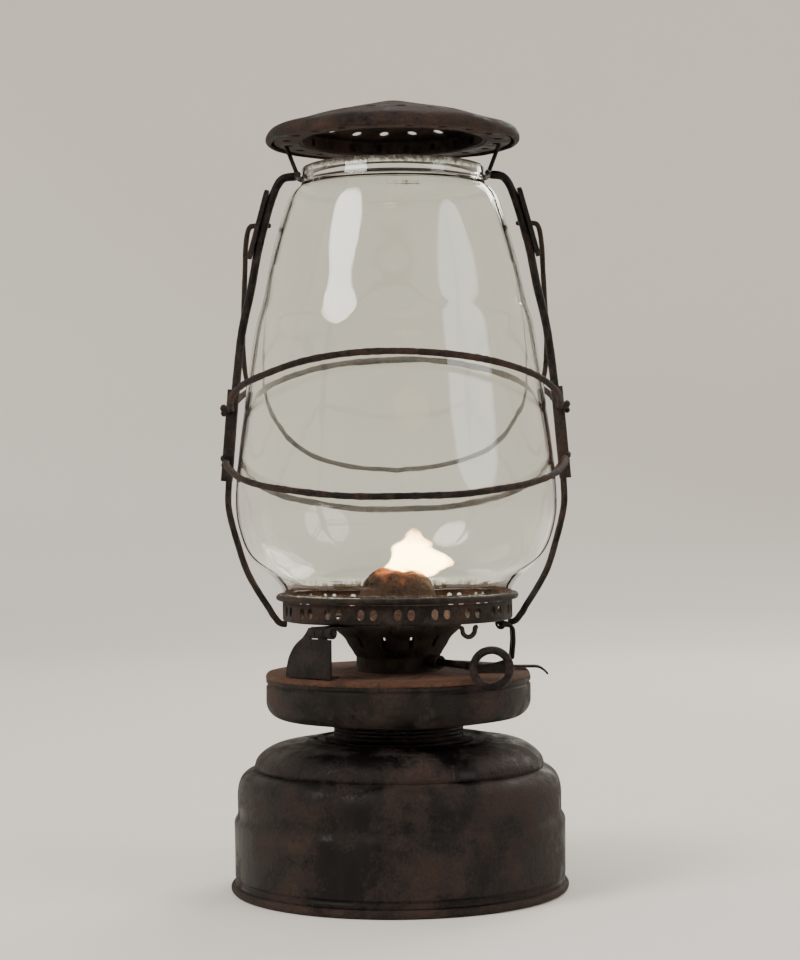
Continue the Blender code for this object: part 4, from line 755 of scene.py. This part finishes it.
# ---------------------------------------------------------------- straps and guards
# A channel of sheet is crimped round each upright at the belly of the globe and clamps the
# ends of four guard wires, which bow out in front of the glass and behind it.
guard_rust = old_metal("guard_rust", (0.014, 0.010, 0.009), (0.056, 0.023, 0.011), 0.42, gloss=0.5, patch=170.0,
                       grain=0.0003)
strap_rust = old_metal("strap_rust", (0.014, 0.010, 0.009), RUST, 0.45, gloss=0.5, patch=140.0)
channel_inner, channel_outer = 0.0021, 0.0029
for hand, turn in (("left", -1), ("right", 1)):
    low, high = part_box(f"strap_{hand}")
    lean = math.atan2(0.0030, 0.0350)
    middle = Vector((turn * 0.06209, 0.0, (low.z + high.z) / 2))
    mouth = -0.0013
    channel = [(mouth, -channel_outer)] + arc(channel_outer - 0.0009, -channel_outer + 0.0009, 0.0009, -90, 0, 5)
    channel += arc(channel_outer - 0.0009, channel_outer - 0.0009, 0.0009, 0, 90, 5) + [(mouth, channel_outer)]
    channel += [(mouth, channel_inner)] + arc(channel_inner - 0.0005, channel_inner - 0.0005, 0.0005, 90, 0, 4)
    channel += arc(channel_inner - 0.0005, -channel_inner + 0.0005, 0.0005, 0, -90, 4) + [(mouth, -channel_inner)]
    place = Matrix.Translation(middle) @ Matrix.Rotation(0 if turn > 0 else math.pi, 4, "Z")
    strap = cut_sheet(f"strap_channel_{hand}", [channel], high.z - low.z - 0.0003,
                      place @ Matrix.Rotation(-lean, 4, "Y"))
    fitted(strap, "globe_frame", "rusted_tin", strap_rust, f"strap_{hand}")

guard_wire = 0.0013
for name in ("guard_upper_front", "guard_upper_rear", "guard_lower_front", "guard_lower_rear"):
    low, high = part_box(name)
    front = name.endswith("front")
    upper = "upper" in name
    facing = -1 if front else 1
    start_level = (low.z if upper else high.z) + (guard_wire if upper else -guard_wire)
    end_level = (high.z if upper else low.z) - (guard_wire if upper else -guard_wire)
    across = high.x - guard_wire
    near = 0.0035
    deep = 0.0660
    hoop = []
    for i in range(97):
        angle = math.pi * i / 96
        rise = math.sin(angle)
        hoop.append((across * math.cos(angle), facing * (near + (deep - near) * rise),
                     start_level + (end_level - start_level) * rise))
    lift = 0.0014 if front else -0.0014
    hook = [(0.0652, facing * 0.0002, start_level + lift), (0.0653, facing * 0.0016, start_level + lift * 0.8),
            (0.0650, facing * 0.0030, start_level + lift * 0.4)]
    path = hook + hoop + [(-x, y, z) for x, y, z in reversed(hook)]
    path = stretched(flowing(path, 2), 0.0008)
    guard = bent_wire(name + "_wire", path, guard_wire * 0.94, lumps=0.13, sway=0.0007, sides=5,
                      seed=20.0 + len(name) + facing)
    fitted(guard, "globe_frame", "dark_wire", guard_rust, name)

# ---------------------------------------------------------------- ears and bail
# A small ear flattened on each upright is pierced for the bail, a light wire handle that
# hooks in from outside and has dropped back behind the globe.
ear_black = old_metal("ear_black", BLACK, RUST, 0.32, gloss=0.45)
pivot_y, pivot_z = 0.0042, 0.2523
ear_sheet = 0.0018
for hand, turn in (("left", -1), ("right", 1)):
    low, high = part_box(f"ear_{hand}")
    lean = turn * math.asin(0.26341)
    outline = [(-0.0022, -0.0122), (0.0, -0.0136), (0.0022, -0.0112)]
    outline += [(pivot_y + y, z) for y, z in arc(0, 0, 0.0034, -60, 60, 16)]
    outline += [(0.0022, 0.0112), (0.0, 0.0136), (-0.0022, 0.0122)]
    upright_plane = Matrix(((0, 0, 1, 0), (1, 0, 0, 0), (0, 1, 0, 0), (0, 0, 0, 1)))
    place = Matrix.Translation((turn * 0.05140, 0, pivot_z)) @ Matrix.Rotation(-lean, 4, "Y") @ upright_plane
    ear = cut_sheet(f"bail_ear_{hand}", [outline, arc(pivot_y, 0, 0.0013, 0, 345, 23)], ear_sheet, place, edge=0.0002)
    fitted(ear, "globe_frame", "blackened_tin", ear_black, f"ear_{hand}")

bail_steel = old_metal("bail_steel", (0.022, 0.017, 0.013), RUST, 0.38, gloss=0.40, metal=0.8, patch=130.0)
rest_angle = math.radians(38.7)
leg = [(0.0467, 0.0), (0.0500, 0.0), (0.0531, 0.0), (0.0549, 0.0007), (0.0561, 0.0042), (0.0571, 0.0115),
       (0.0577, 0.0200), (0.0597, 0.0450), (0.0604, 0.0600), (0.0594, 0.0750), (0.0540, 0.0900), (0.0412, 0.1080),
       (0.0214, 0.1170), (0.0, 0.1200)]
half_path = flowing(leg, 6)
whole = half_path + [(-x, t) for x, t in reversed(half_path[:-1])]
swing = Matrix.Translation((0, pivot_y, pivot_z)) @ Matrix.Rotation(rest_angle, 4, "X")
bail_line = [swing @ Vector((x, 0, -t)) for x, t in whole]
bail = bent_wire("bail_handle", stretched(bail_line, 0.0009), 0.0010, lumps=0.07, sway=0.0, sides=5, seed=31.0)
fitted(bail, "bail", "dark_wire", bail_steel, "bail")

# ---------------------------------------------------------------- hood
# The cap over the globe's mouth: a shallow cone with a low dome and a ring of oval vents,
# its rim rolled under to a pierced skirt. Heat has burnt off its black and left it crusted.
hood_crust = old_metal("hood_crust", (0.012, 0.009, 0.008), (0.050, 0.021, 0.011), 0.50, gloss=0.5, patch=85.0,
                       grain=0.0003)
hood_low, hood_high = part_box("hood_top")
hood_radius = hood_high.x
hood_top = hood_high.z
hood_rim = hood_low.z
outline = flowing([(0.0002, hood_top), (0.0045, hood_top - 0.0005), (0.0090, hood_top - 0.0015),
                   (0.0144, hood_top - 0.0027), (0.0200, hood_top - 0.0040), (0.0280, hood_top - 0.0060),
                   (0.0340, hood_top - 0.0077), (0.0400, hood_top - 0.0095), (0.0448, hood_top - 0.0109),
                   (0.0471, hood_top - 0.0121), (0.0481, hood_top - 0.0135), (0.0483, hood_top - 0.0148),
                   (0.0480, hood_top - 0.0158), (0.0472, hood_top - 0.0164), (0.0463, hood_top - 0.0165)], 4)
cap = spun("hood_cap", walled(outline, SHEET), steps=200, dents=0.0007, dent_size=60.0, seed=41.0, corner=50.0)
vents = bmesh.new()
for i in range(18):
    place = around(math.radians(16.0) + math.tau * i / 18, 0.0320, hood_top - 0.0075)
    add_rod(vents, 0.0020, 0.0090, place @ Matrix.Diagonal((1.15, 0.95, 1.0, 1.0)), 20)
cap = punched(cap, vents, corner=50.0)
fitted(cap, "hood", "rusted_tin", hood_crust, "hood_top")

skirt_low, skirt_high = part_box("hood_skirt")
skirt_outer = skirt_high.x
skirt_inner = 0.0356
section = [(skirt_outer, skirt_high.z), (skirt_outer, skirt_low.z), (skirt_inner, skirt_low.z),
           (skirt_inner, skirt_high.z)]
skirt = spun("hood_pierced_skirt", section, steps=160, dents=0.0001, dent_size=80.0, seed=43.0)
piercings = bmesh.new()
for i in range(20):
    add_rod(piercings, 0.0017, 0.0070, around(math.tau * (i + 0.5) / 20, (skirt_outer + skirt_inner) / 2,
                                              skirt_low.z), 20)
skirt = punched(skirt, piercings)
fitted(skirt, "hood", "rusted_tin", hood_crust, "hood_skirt")

tube_low, tube_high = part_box("hood_deflector")
tube_radius = tube_high.x
section = walled([(tube_radius, tube_high.z), (tube_radius, (tube_low.z + tube_high.z) / 2), (tube_radius, tube_low.z)],
                 SHEET)
inner_tube = spun("hood_slotted_collar", section, steps=140, dents=0.0003, dent_size=90.0, seed=45.0)
slits = bmesh.new()
for i in range(20):
    add_block(slits, (0.0032, 0.0026, (tube_high.z - tube_low.z) * 0.6),
              around(math.tau * (i + 0.5) / 20, tube_radius, (tube_low.z + tube_high.z) / 2))
inner_tube = punched(inner_tube, slits)
fitted(inner_tube, "hood", "rusted_tin", hood_crust, "hood_deflector")

# ---------------------------------------------------------------- flame
# The burning oil above the wick: not a made piece, so it only belongs to the view.
form = bmesh.new()
bmesh.ops.create_uvsphere(form, u_segments=72, v_segments=56, radius=1.0)
flame_base = wick_high.z + 0.0002
flame_tall = 0.0240
for vert in form.verts:
    rise = (vert.co.z + 1) / 2
    taper = math.sin(math.pi * min(1.0, rise + 0.10)) ** 0.6 * (1.16 - 0.72 * rise)
    ragged = 1.0 + 0.9 * rise * noise.noise(Vector((vert.co.x * 1.3, vert.co.y, vert.co.z * 3.2 + 5.0)))
    out = max(0.0, vert.co.x)
    vert.co = Vector((vert.co.x * 0.0100 * taper * ragged + 0.0022 + 0.0045 * rise + 0.0075 * out * taper * ragged,
                      vert.co.y * 0.0062 * taper, rise * flame_tall))
bmesh.ops.transform(form, verts=form.verts, matrix=Matrix.Translation((0, 0, flame_base)))
flame = as_piece("flame", form)
fire = bpy.data.materials.new("fire")
fire.use_nodes = True
tree = fire.node_tree
tree.nodes.remove(tree.nodes["Principled BSDF"])
place = add_node(tree, "TexCoord").outputs["Object"]
height = add_node(tree, "SeparateXYZ", {"Vector": place}).outputs["Z"]
climb = add_node(tree, "MapRange", {"Value": height, "From Min": flame_base, "From Max": flame_base + flame_tall})
hue = ramp(tree, climb.outputs["Result"], [(0.0, (0.35, 0.18, 0.10)), (0.25, (1.0, 0.62, 0.22)),
                                           (0.6, (1.0, 0.72, 0.32)), (1.0, (1.0, 0.40, 0.08))])
wisps = add_node(tree, "TexNoise", {"Vector": place, "Scale": 240.0, "Detail": 4.0, "Roughness": 0.6})
thick = add_node(tree, "MapRange", {"Value": wisps.outputs["Fac"], "From Min": 0.30, "From Max": 0.70,
                                    "To Min": 1300.0, "To Max": 4600.0})
glow = add_node(tree, "Emission", {"Color": hue, "Strength": thick.outputs["Result"]})
tree.links.new(glow.outputs["Emission"], tree.nodes["Material Output"].inputs["Volume"])
flame.data.materials.append(fire)
flame.visible_shadow = False
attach(flame, "wick")
flame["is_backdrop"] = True

# ---------------------------------------------------------------- floor, lights and camera
# A pale studio bowl that rises all round, soft lamps above it, and a camera at the height
# of the globe's waist, level, as one looks at a lantern across a table.
form = bmesh.new()
bowl = [(0.0, 0.0), (1.25, 0.0), (1.45, 0.02), (1.62, 0.09), (1.74, 0.22), (1.80, 0.40), (1.82, 0.8), (1.82, 1.9)]
line = [form.verts.new((r, 0, z)) for r, z in bowl]
edges = [form.edges.new(pair) for pair in zip(line, line[1:])]
bmesh.ops.spin(form, geom=line + edges, cent=(0, 0, 0), axis=(0, 0, 1), angle=math.tau, steps=96, use_merge=True)
bmesh.ops.remove_doubles(form, verts=form.verts, dist=0.0001)
floor = as_piece("studio_floor", form, 60.0)
pale = bpy.data.materials.new("pale_floor")
pale.use_nodes = True
pale.node_tree.nodes["Principled BSDF"].inputs["Base Color"].default_value = (0.78, 0.74, 0.68, 1.0)
pale.node_tree.nodes["Principled BSDF"].inputs["Roughness"].default_value = 0.85
floor.data.materials.append(pale)
floor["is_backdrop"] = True


def soft_lamp(name, place, aim, size, power, colour=(1.0, 1.0, 1.0)):
    lamp = bpy.data.lights.new(name, "AREA")
    lamp.shape = "DISK"
    lamp.size = size
    lamp.energy = power
    lamp.color = colour
    holder = bpy.data.objects.new(name, lamp)
    holder.location = place
    holder.rotation_euler = (Vector(aim) - Vector(place)).to_track_quat("-Z", "Y").to_euler()
    bpy.context.collection.objects.link(holder)


soft_lamp("key", (-0.95, -0.75, 1.05), (0, 0, 0.15), 0.7, 20.0, (1.0, 0.97, 0.93))
soft_lamp("fill", (1.10, -0.60, 0.65), (0, 0, 0.15), 0.9, 8.0, (0.95, 0.97, 1.0))
soft_lamp("back", (0.55, 1.05, 0.90), (0, 0, 0.18), 0.8, 12.0, (1.0, 0.96, 0.90))
ember = bpy.data.lights.new("flame_light", "POINT")
ember.energy = 0.35
ember.color = (1.0, 0.50, 0.16)
ember.shadow_soft_size = 0.003
ember_holder = bpy.data.objects.new("flame_light", ember)
ember_holder.location = (0.001, -0.001, wick_high.z + 0.018)
bpy.context.collection.objects.link(ember_holder)
ember_holder.visible_camera = False
ember_holder.visible_transmission = False
ember_holder.visible_glossy = False
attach(ember_holder, "wick")

world = bpy.data.worlds.new("studio")
world.use_nodes = True
world.node_tree.nodes["Background"].inputs["Color"].default_value = (0.90, 0.91, 0.95, 1.0)
world.node_tree.nodes["Background"].inputs["Strength"].default_value = 0.55
bpy.context.scene.world = world

lens = bpy.data.cameras.new("camera")
lens.lens = 82.9
lens.sensor_width = 36.0
lens.sensor_fit = "AUTO"
camera = bpy.data.objects.new("camera", lens)
camera.location = (0.0015, -0.840, 0.1547)
camera.rotation_euler = (math.radians(90.0), math.radians(0.6), 0.0)
bpy.context.collection.objects.link(camera)
bpy.context.scene.camera = camera

low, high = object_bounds()
